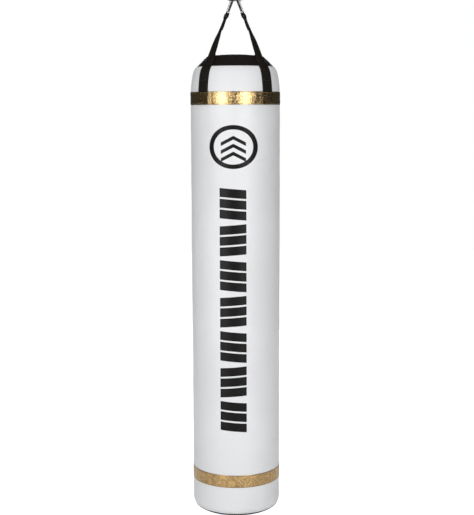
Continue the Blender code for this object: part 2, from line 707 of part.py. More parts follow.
def swivel_stem():
    """The turning half: a stem through the cage's floor, a flange and the lower eye."""
    profile = [
        (0.0, STEM_TOP_Z), (STEM_RADIUS, STEM_TOP_Z), (STEM_RADIUS, CAGE_BOTTOM_Z - GAP),
        (FLANGE_RADIUS, CAGE_BOTTOM_Z - GAP), (FLANGE_RADIUS, FLANGE_BOTTOM_Z), (0.0, FLANGE_BOTTOM_Z),
    ]
    stem = turned(profile, False, 24)
    eye = eye_ring(LOWER_EYE_RADIUS, LOWER_EYE_WIRE, LOWER_EYE_Z, 90)
    place("swivel_stem", combined(stem, [("UNION", eye)]), "bright_zinc")


def swivel_nut():
    circle = NUT_ACROSS / 2 / math.cos(math.pi / 6)
    outline = arc((0, 0), circle, 0, 300, 5)
    block = prism(outline, NUT_HEIGHT)
    block.transform(Matrix.Rotation(math.pi / 2, 4, "X"))
    hole = rod(STEM_RADIUS + GAP, (0, 0, -NUT_HEIGHT), (0, 0, NUT_HEIGHT), 24)
    middle = Matrix.Translation((0, 0, NUT_TOP_Z - NUT_HEIGHT / 2))
    place("swivel_nut", combined(block, [("DIFFERENCE", hole)]), "bright_zinc", middle)


def swivel_washer():
    inner = STEM_RADIUS + GAP
    low = WASHER_TOP_Z - WASHER
    profile = [(inner, low), (WASHER_RADIUS, low), (WASHER_RADIUS, WASHER_TOP_Z), (inner, WASHER_TOP_Z)]
    place("swivel_washer", turned(profile, segments=24), "bright_zinc")


# ---------------------------------------------------------------- floor anchor


def anchor_tab():
    """A webbing patch sewn under the bottom, with a folded tab that holds the anchor ring."""
    patch = box((PATCH_LENGTH, PATCH_WIDTH, WEBBING), (0, 0, PATCH_Z + WEBBING / 2))
    hole_radius = ANCHOR_WIRE + GAP
    web_height = PATCH_Z + WEBBING / 2 - ANCHOR_BAR_Z - hole_radius - WEBBING / 2
    web = box((2 * WEBBING, TAB_WIDTH, web_height), (0, 0, PATCH_Z + WEBBING / 2 - web_height / 2))
    ends = [Vector((0, side * TAB_WIDTH / 2, ANCHOR_BAR_Z)) for side in (-1, 1)]
    loop = rod(hole_radius + WEBBING, *ends, 20)
    past = Vector((0, OVERCUT, 0))
    hole = rod(hole_radius, ends[0] - past, ends[1] + past, 16)
    mesh = combined(patch, [("UNION", web), ("UNION", loop), ("DIFFERENCE", hole)])
    place("anchor_tab", mesh, "black_webbing")


def anchor_ring():
    outline = d_outline(ANCHOR_HALF, ANCHOR_CORNER, 12)
    mesh = wire([(0.0, x, -z) for x, z in outline], ANCHOR_WIRE, closed=True)
    place("anchor_ring", mesh, "bright_zinc", Matrix.Translation((0, 0, ANCHOR_BAR_Z)))


def main():
    for obj in list(bpy.data.objects):
        bpy.data.objects.remove(obj)
    swivel_cage()
    swivel_stem()
    swivel_nut()
    swivel_washer()
    hang_ring()
    hooks_and_straps()
    collar()
    top_lid()
    zip_tape()
    zip_slider()
    zip_pull()
    shoulder_panel()
    main_panel()
    lower_panel()
    bottom_panel()
    bottom_piping()
    gold_band("upper_gold_band", UPPER_SEAM_Z, BAND_INNER_RADIUS)
    gold_band("lower_gold_band", LOWER_SEAM_Z, BAG_RADIUS + GAP)
    filling()
    anchor_tab()
    anchor_ring()


main()
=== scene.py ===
"""Looks of a hanging heavy bag: vinyl cover, gold bands, webbing straps, hooks, swivel, zip top and stage."""

import json
import math

import bmesh
import bpy
from bpy.props import FloatProperty, FloatVectorProperty, IntProperty, PointerProperty
from mathutils import Matrix, Vector, noise


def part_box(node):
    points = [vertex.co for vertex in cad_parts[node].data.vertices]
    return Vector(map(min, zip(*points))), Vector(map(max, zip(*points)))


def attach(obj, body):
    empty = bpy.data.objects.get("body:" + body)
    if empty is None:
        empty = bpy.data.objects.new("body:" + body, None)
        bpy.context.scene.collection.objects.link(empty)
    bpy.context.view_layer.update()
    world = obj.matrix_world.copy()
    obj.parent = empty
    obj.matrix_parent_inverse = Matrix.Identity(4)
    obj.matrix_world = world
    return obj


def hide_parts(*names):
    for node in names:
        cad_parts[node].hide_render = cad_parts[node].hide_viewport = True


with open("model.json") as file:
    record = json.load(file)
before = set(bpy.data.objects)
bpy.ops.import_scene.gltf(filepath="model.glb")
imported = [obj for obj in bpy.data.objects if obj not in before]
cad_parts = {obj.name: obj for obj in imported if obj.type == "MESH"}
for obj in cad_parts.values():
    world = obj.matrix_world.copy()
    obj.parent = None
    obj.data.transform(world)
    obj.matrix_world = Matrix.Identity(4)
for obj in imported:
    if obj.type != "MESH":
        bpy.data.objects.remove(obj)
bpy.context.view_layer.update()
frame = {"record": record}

bl_info = {
    "name": "Hanging heavy bag",
    "version": (1, 0, 0),
    "blender": (4, 5, 0),
    "location": "View3D > Sidebar > Heavy Bag",
    "description": "Builds the finished surfaces of a hanging heavy bag around its packed model",
    "category": "Object",
}

# ---------------------------------------------------------------- measures read from the frame

JOINTS = {joint["name"]: joint for joint in frame["record"]["behaviour"]["joints"]}
MM = 0.001


def low(node):
    return Vector(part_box(node)[0])


def high(node):
    return Vector(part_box(node)[1])


BAG_RADIUS = high("main_panel").x
COLLAR_Z = high("collar").z
COLLAR_FOOT_RADIUS = high("collar").x
WHITE_TOP_Z = high("shoulder_panel").z
UPPER_SEAM_Z = high("main_panel").z
LOWER_SEAM_Z = low("main_panel").z
BAND_HALF = (high("upper_gold_band").z - low("upper_gold_band").z) / 2
BOTTOM_Z = low("bottom_panel").z
LID_Z = high("top_lid").z
RING_BAR_Z = JOINTS["bag_sway"]["pos_m"][2]
ANCHOR_BAR_Z = JOINTS["anchor_swing"]["pos_m"][2]
CORNERS = {"fl": (-1, -1), "fr": (1, -1), "bl": (-1, 1), "br": (1, 1)}


# ---------------------------------------------------------------- settings


def length(label, text, millimetres):
    return FloatProperty(name=label, description=text, default=millimetres * MM, unit="LENGTH")


class BagSizes(bpy.types.PropertyGroup):
    """Sizes of the bag's finished surfaces."""

    vinyl: length("Vinyl thickness", "Thickness of the cover", 1.2)
    shoulder_depth: length("Shoulder depth", "Height over which the top curves in", 100)
    corner: length("Bottom corner", "Radius of the bag's lower edge", 38)
    bulge: length("Bulge", "How far the filling pushes the cover in and out", 1.1)
    collar_fold: length("Collar fold", "Depth of the folds in the gathered collar", 2.2)
    stitch: length("Stitch length", "Length of one stitch", 4.2)
    stitch_gap: length("Stitch gap", "Space between two stitches", 1.8)
    thread: length("Thread", "Thread radius", 0.45)
    webbing_width: length("Webbing width", "Full width of the straps", 50.8)
    webbing: length("Webbing", "Thickness of one ply", 1.8)
    hook_wire: length("Hook bar", "Radius of the snap hook's bar", 3.0)
    hook_height: length("Hook height", "Height of the hook between bar middles", 74)
    ring_wire: length("D-ring bar", "Radius of the D-ring's bar", 4.0)
    emblem_width: length("Emblem width", "Width of the front emblem", 198)
    emblem_height: length("Emblem height", "Height of the front emblem", 169)
    bar_count: IntProperty(name="Printed blocks", description="Number of printed blocks", default=7, min=1)


def colour(label, value):
    text = f"{label} base colour"
    return FloatVectorProperty(
        name=label, description=text, default=(*value, 1.0), size=4, min=0, max=1, subtype="COLOR"
    )


class BagColours(bpy.types.PropertyGroup):
    """Colours of the bag's materials."""

    white: colour("White vinyl", (0.80, 0.81, 0.83))
    black: colour("Black vinyl", (0.0066, 0.0048, 0.0044))
    gold: colour("Gold foil", (0.74, 0.52, 0.24))
    satin_gold: colour("Satin gold", (0.72, 0.47, 0.20))
    webbing: colour("Webbing", (0.0088, 0.0070, 0.0052))
    chrome: colour("Chrome", (0.50, 0.51, 0.53))
    zinc: colour("Zinc", (0.52, 0.53, 0.55))
    print_ink: colour("Print", (0.0055, 0.0045, 0.0046))
    floor: colour("Floor", (0.86, 0.86, 0.86))


def sizes():
    return bpy.context.scene.bag_sizes


def colours():
    return bpy.context.scene.bag_colours


# ---------------------------------------------------------------- mesh helpers


def raw_mesh(name, verts, faces):
    mesh = bpy.data.meshes.new(name)
    mesh.from_pydata([tuple(v) for v in verts], [], [tuple(f) for f in faces])
    return mesh


def cleaned(mesh, weld=True):
    """The same mesh with its normals facing out and, if weld, its doubled points made one."""
    bm = bmesh.new()
    bm.from_mesh(mesh)
    if weld:
        bmesh.ops.remove_doubles(bm, verts=bm.verts, dist=1e-6)
    bmesh.ops.recalc_face_normals(bm, faces=bm.faces)
    bm.to_mesh(mesh)
    bm.free()
    return mesh


def piece(name, verts, faces, body, slot, material, stands_for=(), **shading):
    """A mesh object that rides on a body, takes a finish slot and stands for its CAD nodes."""
    return finished(name, raw_mesh(name, verts, faces), body, slot, material, stands_for, **shading)


def finished(name, mesh, body, slot, material, stands_for=(), smooth=True, sharp_deg=40):
    cleaned(mesh).validate()
    if smooth:
        mesh.shade_smooth()
        mesh.set_sharp_from_angle(angle=math.radians(sharp_deg))
    obj = bpy.data.objects.new(name, mesh)
    bpy.context.scene.collection.objects.link(obj)
    obj.data.materials.clear()
    obj.data.materials.append(material)
    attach(obj, body)
    if stands_for:
        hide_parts(*stands_for)
    return obj


def soft_piece(name, shape, slot, material, node):
    """A stuffed, foam or cloth piece of the bag that stands for one CAD node."""
    made = piece(name, *shape, "bag", slot, material, (node,))
    return made


def bridge_faces(first, second, columns):
    """Quads between two rings of points, each given by the number of its first point."""
    after = [(j + 1) % columns for j in range(columns)]
    return [(first + j, first + k, second + k, second + j) for j, k in enumerate(after)]


def grid_faces(rows, columns, wrap=True):
    """Quads of a grid stored row by row; wrap joins the last column to the first."""
    faces = []
    for i in range(rows - 1):
        row = bridge_faces(i * columns, (i + 1) * columns, columns)
        faces += row if wrap else row[:-1]
    return faces


def shell_faces(rows, columns):
    """Faces of an outer and an inner grid of points, joined along their first and last rows."""
    count = rows * columns
    outer = grid_faces(rows, columns)
    faces = outer + [tuple(count + v for v in reversed(face)) for face in outer]
    for row in (0, rows - 1):
        faces += bridge_faces(row * columns, count + row * columns, columns)
    return faces


def closed_loft(sections):
    """Vertices and faces of a solid through closed sections of equal length, with flat ends."""
    columns = len(sections[0])
    verts = [p for section in sections for p in section]
    faces = grid_faces(len(sections), columns)
    faces.append(tuple(range(columns)))
    faces.append(tuple(range((len(sections) - 1) * columns, len(sections) * columns)))
    return verts, faces


def shell_of(outer, rows, columns, thickness):
    """A round wall: outer(angle, row) gives its radius, its height and its outward slope (radial, up)."""
    verts = []
    for depth in (0.0, thickness):
        for i in range(rows):
            for j in range(columns):
                angle = math.tau * j / columns
                r, z, out, rise = outer(angle, i)
                r, z = max(0.0, r - depth * out), z - depth * rise
                verts.append((math.cos(angle) * r, math.sin(angle) * r, z))
    return verts, shell_faces(rows, columns)


def swept(path, normal, section, closed):
    """A section of (outward, sideways) offsets swept along a flat path whose plane has this normal."""
    count = len(path)
    sections = []
    for i, point in enumerate(path):
        before = path[(i - 1) % count] if closed or i else point
        after = path[(i + 1) % count] if closed or i < count - 1 else point
        out = (after - before).normalized().cross(normal).normalized()
        sections.append([point + out * a + normal * b for a, b in section])
    if not closed:
        return closed_loft(sections)
    return closed_rings(sections)


def closed_rings(sections):
    """Vertices and faces of a ring-shaped solid through closed sections of equal length."""
    columns = len(sections[0])
    faces = grid_faces(len(sections), columns)
    faces += bridge_faces((len(sections) - 1) * columns, 0, columns)
    return [p for section in sections for p in section], faces


def round_section(radius, sides=20):
    angles = [math.tau * i / sides for i in range(sides)]
    return [(radius * math.cos(a), radius * math.sin(a)) for a in angles]


def turned(profile, columns=48):
    """One ring of points round the bag's axis for each (radius, height) of a profile."""
    return [[(x, y, z) for x, y in round_section(r, columns)] for r, z in profile]


def arc(centre, radius, start_deg, end_deg, steps):
    angles = [math.radians(start_deg + (end_deg - start_deg) * i / steps) for i in range(steps + 1)]
    return [(centre[0] + radius * math.cos(a), centre[1] + radius * math.sin(a)) for a in angles]


def rounded(corners, fillets, steps=10):
    """A polyline through 2D corners with each turn rounded to its fillet."""
    path = [Vector(corners[0])]
    for before, corner, after, radius in zip(corners, corners[1:], corners[2:], fillets):
        corner = Vector(corner)
        to_before = (Vector(before) - corner).normalized()
        to_after = (Vector(after) - corner).normalized()
        half = to_before.angle(to_after) / 2
        centre = corner + (to_before + to_after).normalized() * (radius / math.sin(half))
        start = corner + to_before * (radius / math.tan(half)) - centre
        end = corner + to_after * (radius / math.tan(half)) - centre
        turn = start.angle_signed(end)
        path += [centre + Matrix.Rotation(-turn * i / steps, 2) @ start for i in range(steps + 1)]
    return path + [Vector(corners[-1])]


def resampled(path, step):
    """The same line with points no further apart than step."""
    points = [path[0]]
    for a, b in zip(path, path[1:]):
        count = max(1, math.ceil((b - a).length / step))
        points += [a.lerp(b, i / count) for i in range(1, count + 1)]
    return points


def joined(parts):
    """Vertices and faces of several (verts, faces) shapes as one list."""
    verts, faces = [], []
    for more, their_faces in parts:
        start = len(verts)
        verts += more
        faces += [tuple(start + i for i in face) for face in their_faces]
    return verts, faces


def mesh_of(shape):
    return cleaned(raw_mesh("shape", *shape), weld=False)


def loose(mesh):
    obj = bpy.data.objects.new("tool", mesh)
    bpy.context.scene.collection.objects.link(obj)
    return obj


def evaluated(obj):
    """The object's mesh with its modifiers applied; the object itself is removed."""
    bpy.context.view_layer.update()
    graph = bpy.context.evaluated_depsgraph_get()
    mesh = bpy.data.meshes.new_from_object(obj.evaluated_get(graph), depsgraph=graph)
    bpy.data.objects.remove(obj)
    return mesh


def boolean(base, *steps):
    """The mesh of base after each ("UNION", "DIFFERENCE" or "INTERSECT", mesh) step."""
    holder = loose(base)
    tools = [loose(mesh) for _, mesh in steps]
    for (operation, _), tool in zip(steps, tools):
        modifier = holder.modifiers.new("shape", "BOOLEAN")
        modifier.operation, modifier.object, modifier.solver = operation, tool, "EXACT"
    mesh = evaluated(holder)
    for tool in tools:
        bpy.data.objects.remove(tool)
    return mesh


def softened(mesh, voxel, rounds):
    """A mesh with its edges rounded over, as a forging or casting has them."""
    holder = loose(mesh)
    remesh = holder.modifiers.new("remesh", "REMESH")
    remesh.mode, remesh.voxel_size, remesh.use_smooth_shade = "VOXEL", voxel, True
    smooth = holder.modifiers.new("smooth", "SMOOTH")
    smooth.factor, smooth.iterations = 0.5, rounds
    return evaluated(holder)


def block(size, centre, turn=None):
    bm = bmesh.new()
    matrix = Matrix.Translation(centre) @ (turn or Matrix.Identity(4)) @ Matrix.Diagonal((*size, 1.0))
    bmesh.ops.create_cube(bm, size=1.0, matrix=matrix)
    mesh = bpy.data.meshes.new("block")
    bm.to_mesh(mesh)
    bm.free()
    return mesh


def rod(radius, start, end, segments=32):
    start, end = Vector(start), Vector(end)
    turn = (end - start).to_track_quat("Z", "Y").to_matrix().to_4x4()
    bm = bmesh.new()
    bmesh.ops.create_cone(
        bm, cap_ends=True, segments=segments, radius1=radius, radius2=radius,
        depth=(end - start).length, matrix=Matrix.Translation((start + end) / 2) @ turn,
    )
    mesh = bpy.data.meshes.new("rod")
    bm.to_mesh(mesh)
    bm.free()
    return mesh


STITCH_SIDES = 6
STITCH_RISE = 0.2
STITCH_PROFILE = ((-0.5, 0.35), (-0.3, 0.95), (0.3, 0.95), (0.5, 0.35))


def stitches(points, outs):
    """One capsule of thread per stitch along a line of (start, end) spans."""
    radius = sizes().thread
    shapes = []
    for (start, end), out in zip(points, outs):
        along = (end - start).normalized()
        side = out.cross(along).normalized()
        centre = (start + end) / 2 + out * radius * STITCH_RISE
        length = (end - start).length
        rings = []
        for share, swell in STITCH_PROFILE:
            mid = centre + along * length * share - out * radius * (1 - swell)
            section = round_section(radius * swell, STITCH_SIDES)
            rings.append([mid + side * a + out * b for a, b in section])
        shapes.append(closed_loft(rings))
    return joined(shapes)


def stitch_spans(place, total):
    """(start, end) of each stitch along a line given as a function of length and its total length."""
    count = max(1, int(total / (sizes().stitch + sizes().stitch_gap)))
    pitch = total / count
    return [(place(i * pitch), place(i * pitch + sizes().stitch)) for i in range(count)]


def ring_stitches(radius_at, z, dip=0.0):
    """Stitches round the bag, lower by dip at its sides; radius_at(angle) is the surface there."""
    total = math.tau * radius_at(0.0)

    def place(length):
        angle = math.tau * length / total
        x, y = math.cos(angle), math.sin(angle)
        return Vector((x * radius_at(angle), y * radius_at(angle), z - dip * x * x))

    spans = stitch_spans(place, total)
    outs = [Vector(((a + b).x, (a + b).y, 0)).normalized() for a, b in spans]
    return stitches(spans, outs)


# ---------------------------------------------------------------- shader helpers


def node_group(name, inputs, outputs):
    """A shader node group with float and colour sockets, and its in and out nodes."""
    group = bpy.data.node_groups.new(name, "ShaderNodeTree")
    for label, kind, value in inputs:
        socket = group.interface.new_socket(name=label, in_out="INPUT", socket_type=f"NodeSocket{kind}")
        if value is not None:
            socket.default_value = value
    for label, kind in outputs:
        group.interface.new_socket(name=label, in_out="OUTPUT", socket_type=f"NodeSocket{kind}")
    return group, group.nodes.new("NodeGroupInput"), group.nodes.new("NodeGroupOutput")


def add(tree, kind, **values):
    """A node with its settings, and inputs given as {"socket": value or output}."""
    node = tree.nodes.new(f"ShaderNode{kind}")
    wired = values.pop("inputs", {})
    for key, value in values.items():
        setattr(node, key, value)
    for key, value in wired.items():
        socket = node.inputs[key]
        if isinstance(value, bpy.types.NodeSocket):
            tree.links.new(value, socket)
        else:
            socket.default_value = value
    return node


def math_node(tree, operation, *values, clamp=False):
    return add(tree, "Math", operation=operation, use_clamp=clamp, inputs=dict(enumerate(values))).outputs[0]


def ramp(tree, value, low_at, high_at, low_to=0.0, high_to=1.0):
    """A smooth step from low_to to high_to as value goes from low_at to high_at."""
    inputs = {"Value": value, "From Min": low_at, "From Max": high_at, "To Min": low_to, "To Max": high_to}
    return add(tree, "MapRange", interpolation_type="SMOOTHSTEP", inputs=inputs).outputs["Result"]


def coordinates(tree):
    return add(tree, "TexCoord").outputs["Object"]


def times(tree, first, second):
    return math_node(tree, "MULTIPLY", first, second)


def noise_of(tree, vector, scale, detail=3.0, roughness=0.5, distortion=0.0):
    inputs = {"Vector": vector, "Scale": scale, "Detail": detail}
    inputs |= {"Roughness": roughness, "Distortion": distortion}
    return add(tree, "TexNoise", inputs=inputs).outputs["Fac"]


def grain_group():
    """Pebbled leather grain: a height, and a mask of its valleys."""
    if "pebble_grain" in bpy.data.node_groups:
        return bpy.data.node_groups["pebble_grain"]
    inputs = [("Grain size", "Float", 1.4 * MM), ("Crease size", "Float", 30 * MM)]
    inputs.append(("Crease depth", "Float", 0.3))
    outputs = [("Height", "Float"), ("Valleys", "Float")]
    group, given, out = node_group("pebble_grain", inputs, outputs)
    vector = coordinates(group)
    warp = add(group, "TexNoise", inputs={"Vector": vector, "Scale": 400.0, "Detail": 2.0}).outputs["Color"]
    shift = {0: warp, 1: (0.0012,) * 3, 2: vector}
    bent = add(group, "VectorMath", operation="MULTIPLY_ADD", inputs=shift).outputs[0]
    scale = math_node(group, "DIVIDE", 1.0, given.outputs["Grain size"])
    cells = add(group, "TexVoronoi", feature="DISTANCE_TO_EDGE", inputs={"Vector": bent, "Scale": scale})
    pebbles = ramp(group, cells.outputs["Distance"], 0.0, 0.30)
    crease_scale = math_node(group, "DIVIDE", 1.0, given.outputs["Crease size"])
    creases = noise_of(group, vector, crease_scale, 4.0, 0.55, 0.6)
    folds = math_node(group, "ABSOLUTE", math_node(group, "SUBTRACT", creases, 0.5))
    deep = times(group, ramp(group, folds, 0.0, 0.12), given.outputs["Crease depth"])
    height = math_node(group, "ADD", times(group, pebbles, 0.5), deep)
    group.links.new(height, out.inputs["Height"])
    group.links.new(math_node(group, "SUBTRACT", 1.0, pebbles), out.inputs["Valleys"])
    return group


def weave_group():
    """Woven webbing read from the strap's own lengthwise and crosswise coordinates."""
    if "webbing_weave" in bpy.data.node_groups:
        return bpy.data.node_groups["webbing_weave"]
    inputs = [("Rib pitch", "Float", 2.2 * MM), ("Pick pitch", "Float", 1.1 * MM)]
    group, given, out = node_group("webbing_weave", inputs, [("Height", "Float"), ("Shade", "Float")])
    place = add(group, "Attribute", attribute_name="weave").outputs["Vector"]
    split = add(group, "SeparateXYZ", inputs={0: place})
    across = math_node(group, "DIVIDE", split.outputs["X"], given.outputs["Rib pitch"])
    along = math_node(group, "DIVIDE", split.outputs["Y"], given.outputs["Pick pitch"])
    rib = math_node(group, "COSINE", times(group, across, math.tau))
    column = math_node(group, "FLOOR", across)
    shifted = math_node(group, "ADD", along, times(group, column, 0.5))
    pick = math_node(group, "COSINE", times(group, shifted, math.tau))
    height = math_node(group, "ADD", times(group, rib, 0.35), times(group, pick, 0.3))
    fuzz = noise_of(group, coordinates(group), 900.0, 2.0)
    rough = math_node(group, "MULTIPLY_ADD", fuzz, 0.4, height)
    group.links.new(rough, out.inputs["Height"])
    # Shade output: painted shade that follows the relief, light on the raised yarns and dark between them.
    group.links.new(ramp(group, rough, -0.6, 0.7), out.inputs["Shade"])
    return group


def wear_group():
    """Scuffs and dust: long light rubs, and specks."""
    if "surface_wear" in bpy.data.node_groups:
        return bpy.data.node_groups["surface_wear"]
    inputs = [("Rub size", "Float", 60 * MM), ("Amount", "Float", 0.5)]
    outputs = [("Rubs", "Float"), ("Specks", "Float"), ("Clouds", "Float")]
    group, given, out = node_group("surface_wear", inputs, outputs)
    vector = coordinates(group)
    scale = math_node(group, "DIVIDE", 1.0, given.outputs["Rub size"])
    rubs = ramp(group, noise_of(group, vector, scale, 6.0, 0.65, 1.2), 0.56, 0.74)
    group.links.new(times(group, rubs, given.outputs["Amount"]), out.inputs["Rubs"])
    specks = ramp(group, noise_of(group, vector, 420.0, 2.0), 0.70, 0.80)
    group.links.new(times(group, specks, given.outputs["Amount"]), out.inputs["Specks"])
    group.links.new(noise_of(group, vector, 3.0, 3.0), out.inputs["Clouds"])
    return group


def place_group(tree, group, **values):
    node = tree.nodes.new("ShaderNodeGroup")
    node.node_tree = group
    for label, value in values.items():
        node.inputs[label.replace("_", " ")].default_value = value
    return node


def made_look(name):
    """The finished material of this name, if it has been made; the frame's own plain ones have no ending."""
    return bpy.data.materials.get(f"{name}_look")


def new_material(name, **constants):
    """A Principled material with these constant inputs; returns it with its tree and shader."""
    material = bpy.data.materials.new(f"{name}_look")
    material.use_nodes = True
    shader = material.node_tree.nodes["Principled BSDF"]
    for label, value in constants.items():
        shader.inputs[label.replace("_", " ")].default_value = value
    return material, material.node_tree, shader


def mixed(tree, share, first, second):
    """A colour between two, by share."""
    inputs = {0: share, 6: first, 7: second}
    return add(tree, "Mix", data_type="RGBA", blend_type="MIX", inputs=inputs).outputs[2]


def tinted(colour, factor):
    return (colour[0] * factor, colour[1] * factor, colour[2] * factor, 1.0)


def surface(tree, shader, base, gloss, height, distance, strength):
    """Wires a colour, a roughness and a relief into a shader."""
    tree.links.new(base, shader.inputs["Base Color"])
    tree.links.new(gloss, shader.inputs["Roughness"])
    node = add(tree, "Bump", inputs={"Height": height, "Distance": distance, "Strength": strength})
    tree.links.new(node.outputs[0], shader.inputs["Normal"])


def vinyl_material(name, colour, roughness, creasing, dirt, amount, **constants):
    """Grained vinyl with creases, rubs and a little soiling; creasing is grain, crease size and depth."""
    if made_look(name):
        return made_look(name)
    material, tree, shader = new_material(name, **constants)
    grain, crease, crease_depth = creasing
    group = grain_group()
    pebbles = place_group(tree, group, Grain_size=grain, Crease_size=crease, Crease_depth=crease_depth)
    wear = place_group(tree, wear_group(), Rub_size=90 * MM, Amount=amount)
    valleys, rubs = pebbles.outputs["Valleys"], wear.outputs["Rubs"]
    clouds = ramp(tree, wear.outputs["Clouds"], 0.3, 0.7)
    base = mixed(tree, clouds, tinted(colour, 0.96), tinted(colour, 1.03))
    for mask, share in ((valleys, 0.22), (rubs, 0.30), (wear.outputs["Specks"], 0.25)):
        base = mixed(tree, times(tree, mask, share), base, dirt)
    gloss = math_node(tree, "MULTIPLY_ADD", rubs, 0.22, roughness)
    gloss = math_node(tree, "MULTIPLY_ADD", valleys, 0.12, gloss)
    surface(tree, shader, base, gloss, pebbles.outputs["Height"], 0.25 * MM, 0.5)
    return material


def white_vinyl():
    creasing = 1.3 * MM, 45 * MM, 0.12
    gloss = {"Coat_Weight": 0.15, "Coat_Roughness": 0.35}
    return vinyl_material(
        "white_vinyl", colours().white, 0.42, creasing, (0.52, 0.50, 0.47, 1), 0.35, **gloss
    )


def black_vinyl():
    creasing = 1.2 * MM, 14 * MM, 1.1
    gloss = {"Specular_IOR_Level": 0.45}
    return vinyl_material(
        "black_vinyl", colours().black, 0.34, creasing, (0.026, 0.020, 0.018, 1), 0.5, **gloss
    )


def foil_material(name, colour, roughness, crinkle, crinkle_depth):
    """Metallised vinyl: crinkled, darker in its creases, rubbed matt in places."""
    if made_look(name):
        return made_look(name)
    material, tree, shader = new_material(name, Metallic=1.0, Coat_Weight=0.5, Coat_Roughness=0.12)
    vector = coordinates(tree)
    rubs = place_group(tree, wear_group(), Rub_size=25 * MM, Amount=0.8).outputs["Rubs"]
    large = noise_of(tree, vector, 1 / crinkle, 5.0, 0.6, 1.4)
    ridges = math_node(tree, "ABSOLUTE", math_node(tree, "SUBTRACT", large, 0.5))
    fine = noise_of(tree, vector, 3.2 / crinkle, 4.0, 0.6, 0.8)
    height = math_node(tree, "MULTIPLY_ADD", fine, 0.25, ridges)
    crease = ramp(tree, ridges, 0.0, 0.09, 1.0, 0.0)
    hem = add(tree, "Attribute", attribute_name="edge").outputs["Fac"]
    # Painted shade: the crinkle's creases and the band's edges are darkened towards 30% of the gold colour.
    dark = math_node(tree, "MAXIMUM", times(tree, crease, 0.75), times(tree, hem, 0.7))
    base = mixed(tree, dark, colour, tinted(colour, 0.30))
    warm = mixed(tree, times(tree, rubs, 0.35), base, (0.42, 0.24, 0.10, 1))
    gloss = math_node(tree, "MULTIPLY_ADD", rubs, 0.2, roughness)
    surface(tree, shader, warm, gloss, height, crinkle_depth, 0.8)
    return material


def gold_foil():
    return foil_material("gold_foil", colours().gold, 0.16, 13 * MM, 1.7 * MM)


def gold_satin():
    return foil_material("gold_satin", colours().satin_gold, 0.32, 16 * MM, 0.6 * MM)


def webbing_material():
    if made_look("black_webbing"):
        return made_look("black_webbing")
    material, tree, shader = new_material("black_webbing", Specular_IOR_Level=0.12)
    weave = place_group(tree, weave_group())
    rubs = place_group(tree, wear_group(), Rub_size=30 * MM, Amount=0.7).outputs["Rubs"]
    shade, black = weave.outputs["Shade"], colours().webbing
    # Painted shade: the webbing colour runs from 0.4 to 1.7 times its black by the weave's painted shade.
    dark = mixed(tree, shade, tinted(black, 0.4), tinted(black, 1.7))
    dusty = mixed(tree, times(tree, rubs, 0.35), dark, (0.018, 0.015, 0.012, 1))
    gloss = math_node(tree, "MULTIPLY_ADD", shade, -0.12, 0.78)
    surface(tree, shader, dusty, gloss, weave.outputs["Height"], 0.35 * MM, 0.8)
    return material


def metal_material(name, colour, roughness, brush, scratch):
    """Plated steel: fine scratches, cloudy plating and dull rubs."""
    if made_look(name):
        return made_look(name)
    material, tree, shader = new_material(name, Metallic=1.0)
    rubs = place_group(tree, wear_group(), Rub_size=8 * MM, Amount=1.0).outputs["Rubs"]
    scale = {"Vector": coordinates(tree), "Scale": (1.0, 1.0, brush)}
    lines = noise_of(tree, add(tree, "Mapping", inputs=scale).outputs[0], 900.0, 3.0)
    base = mixed(tree, times(tree, rubs, 0.5), colour, tinted(colour, 0.6))
    gloss = math_node(tree, "MULTIPLY_ADD", lines, 0.12, roughness)
    gloss = math_node(tree, "MULTIPLY_ADD", rubs, 0.18, gloss)
    surface(tree, shader, base, gloss, lines, scratch, 0.4)
    return material


def chrome():
    return metal_material("hook_chrome", colours().chrome, 0.10, 0.4, 0.02 * MM)


def zinc():
    return metal_material("ring_zinc", colours().zinc, 0.24, 0.5, 0.05 * MM)


def swivel_steel():
    return metal_material("swivel_steel", tinted(colours().zinc, 0.9), 0.30, 1.0, 0.06 * MM)


def zip_metal():
    return metal_material("zip_metal", tinted(colours().chrome, 0.8), 0.22, 0.8, 0.03 * MM)


def cloth_material(name, colour, pitch, roughness=0.85):
    """A plain woven or stuffed cloth."""
    if made_look(name):
        return made_look(name)
    material, tree, shader = new_material(name, Sheen_Weight=0.2)
    rubs = place_group(tree, wear_group(), Rub_size=20 * MM, Amount=0.8).outputs["Rubs"]
    cells = add(tree, "TexVoronoi", inputs={"Vector": coordinates(tree), "Scale": 1 / pitch})
    threads = cells.outputs["Distance"]
    base = mixed(tree, threads, tinted(colour, 0.7), tinted(colour, 1.2))
    base = mixed(tree, times(tree, rubs, 0.3), base, tinted(colour, 0.5))
    gloss = math_node(tree, "MULTIPLY_ADD", threads, -0.1, roughness)
    surface(tree, shader, base, gloss, threads, pitch * 0.4, 0.7)
    return material


def thread_black():
    return cloth_material("thread_black", (0.02, 0.018, 0.018), 0.5 * MM, 0.6)


def thread_white():
    return cloth_material("thread_white", (0.72, 0.71, 0.70), 0.5 * MM, 0.6)


def thread_gold():
    return cloth_material("thread_gold", (0.34, 0.22, 0.09), 0.5 * MM, 0.5)


def ink_material():
    """Screen-printed ink: smooth, slightly broken over the grain."""
    if made_look("print_ink"):
        return made_look("print_ink")
    material, tree, shader = new_material("print_ink", Specular_IOR_Level=0.14)
    group = grain_group()
    pebbles = place_group(tree, group, Grain_size=1.3 * MM, Crease_size=45 * MM, Crease_depth=0.12)
    wear = place_group(tree, wear_group(), Rub_size=70 * MM, Amount=0.5)
    specks = times(tree, wear.outputs["Specks"], 0.5)
    base = mixed(tree, specks, colours().print_ink, (0.03, 0.03, 0.03, 1))
    base = mixed(tree, times(tree, pebbles.outputs["Valleys"], 0.1), base, (0.02, 0.02, 0.02, 1))
    gloss = math_node(tree, "MULTIPLY_ADD", wear.outputs["Rubs"], 0.2, 0.36)
    surface(tree, shader, base, gloss, pebbles.outputs["Height"], 0.2 * MM, 0.4)
    return material


# ---------------------------------------------------------------- cover

SEAM_GAP = 0.15 * MM
CORNER_Z = BOTTOM_Z + 38 * MM
BLACK_SHARE = 40 / 90
COLUMNS = 192


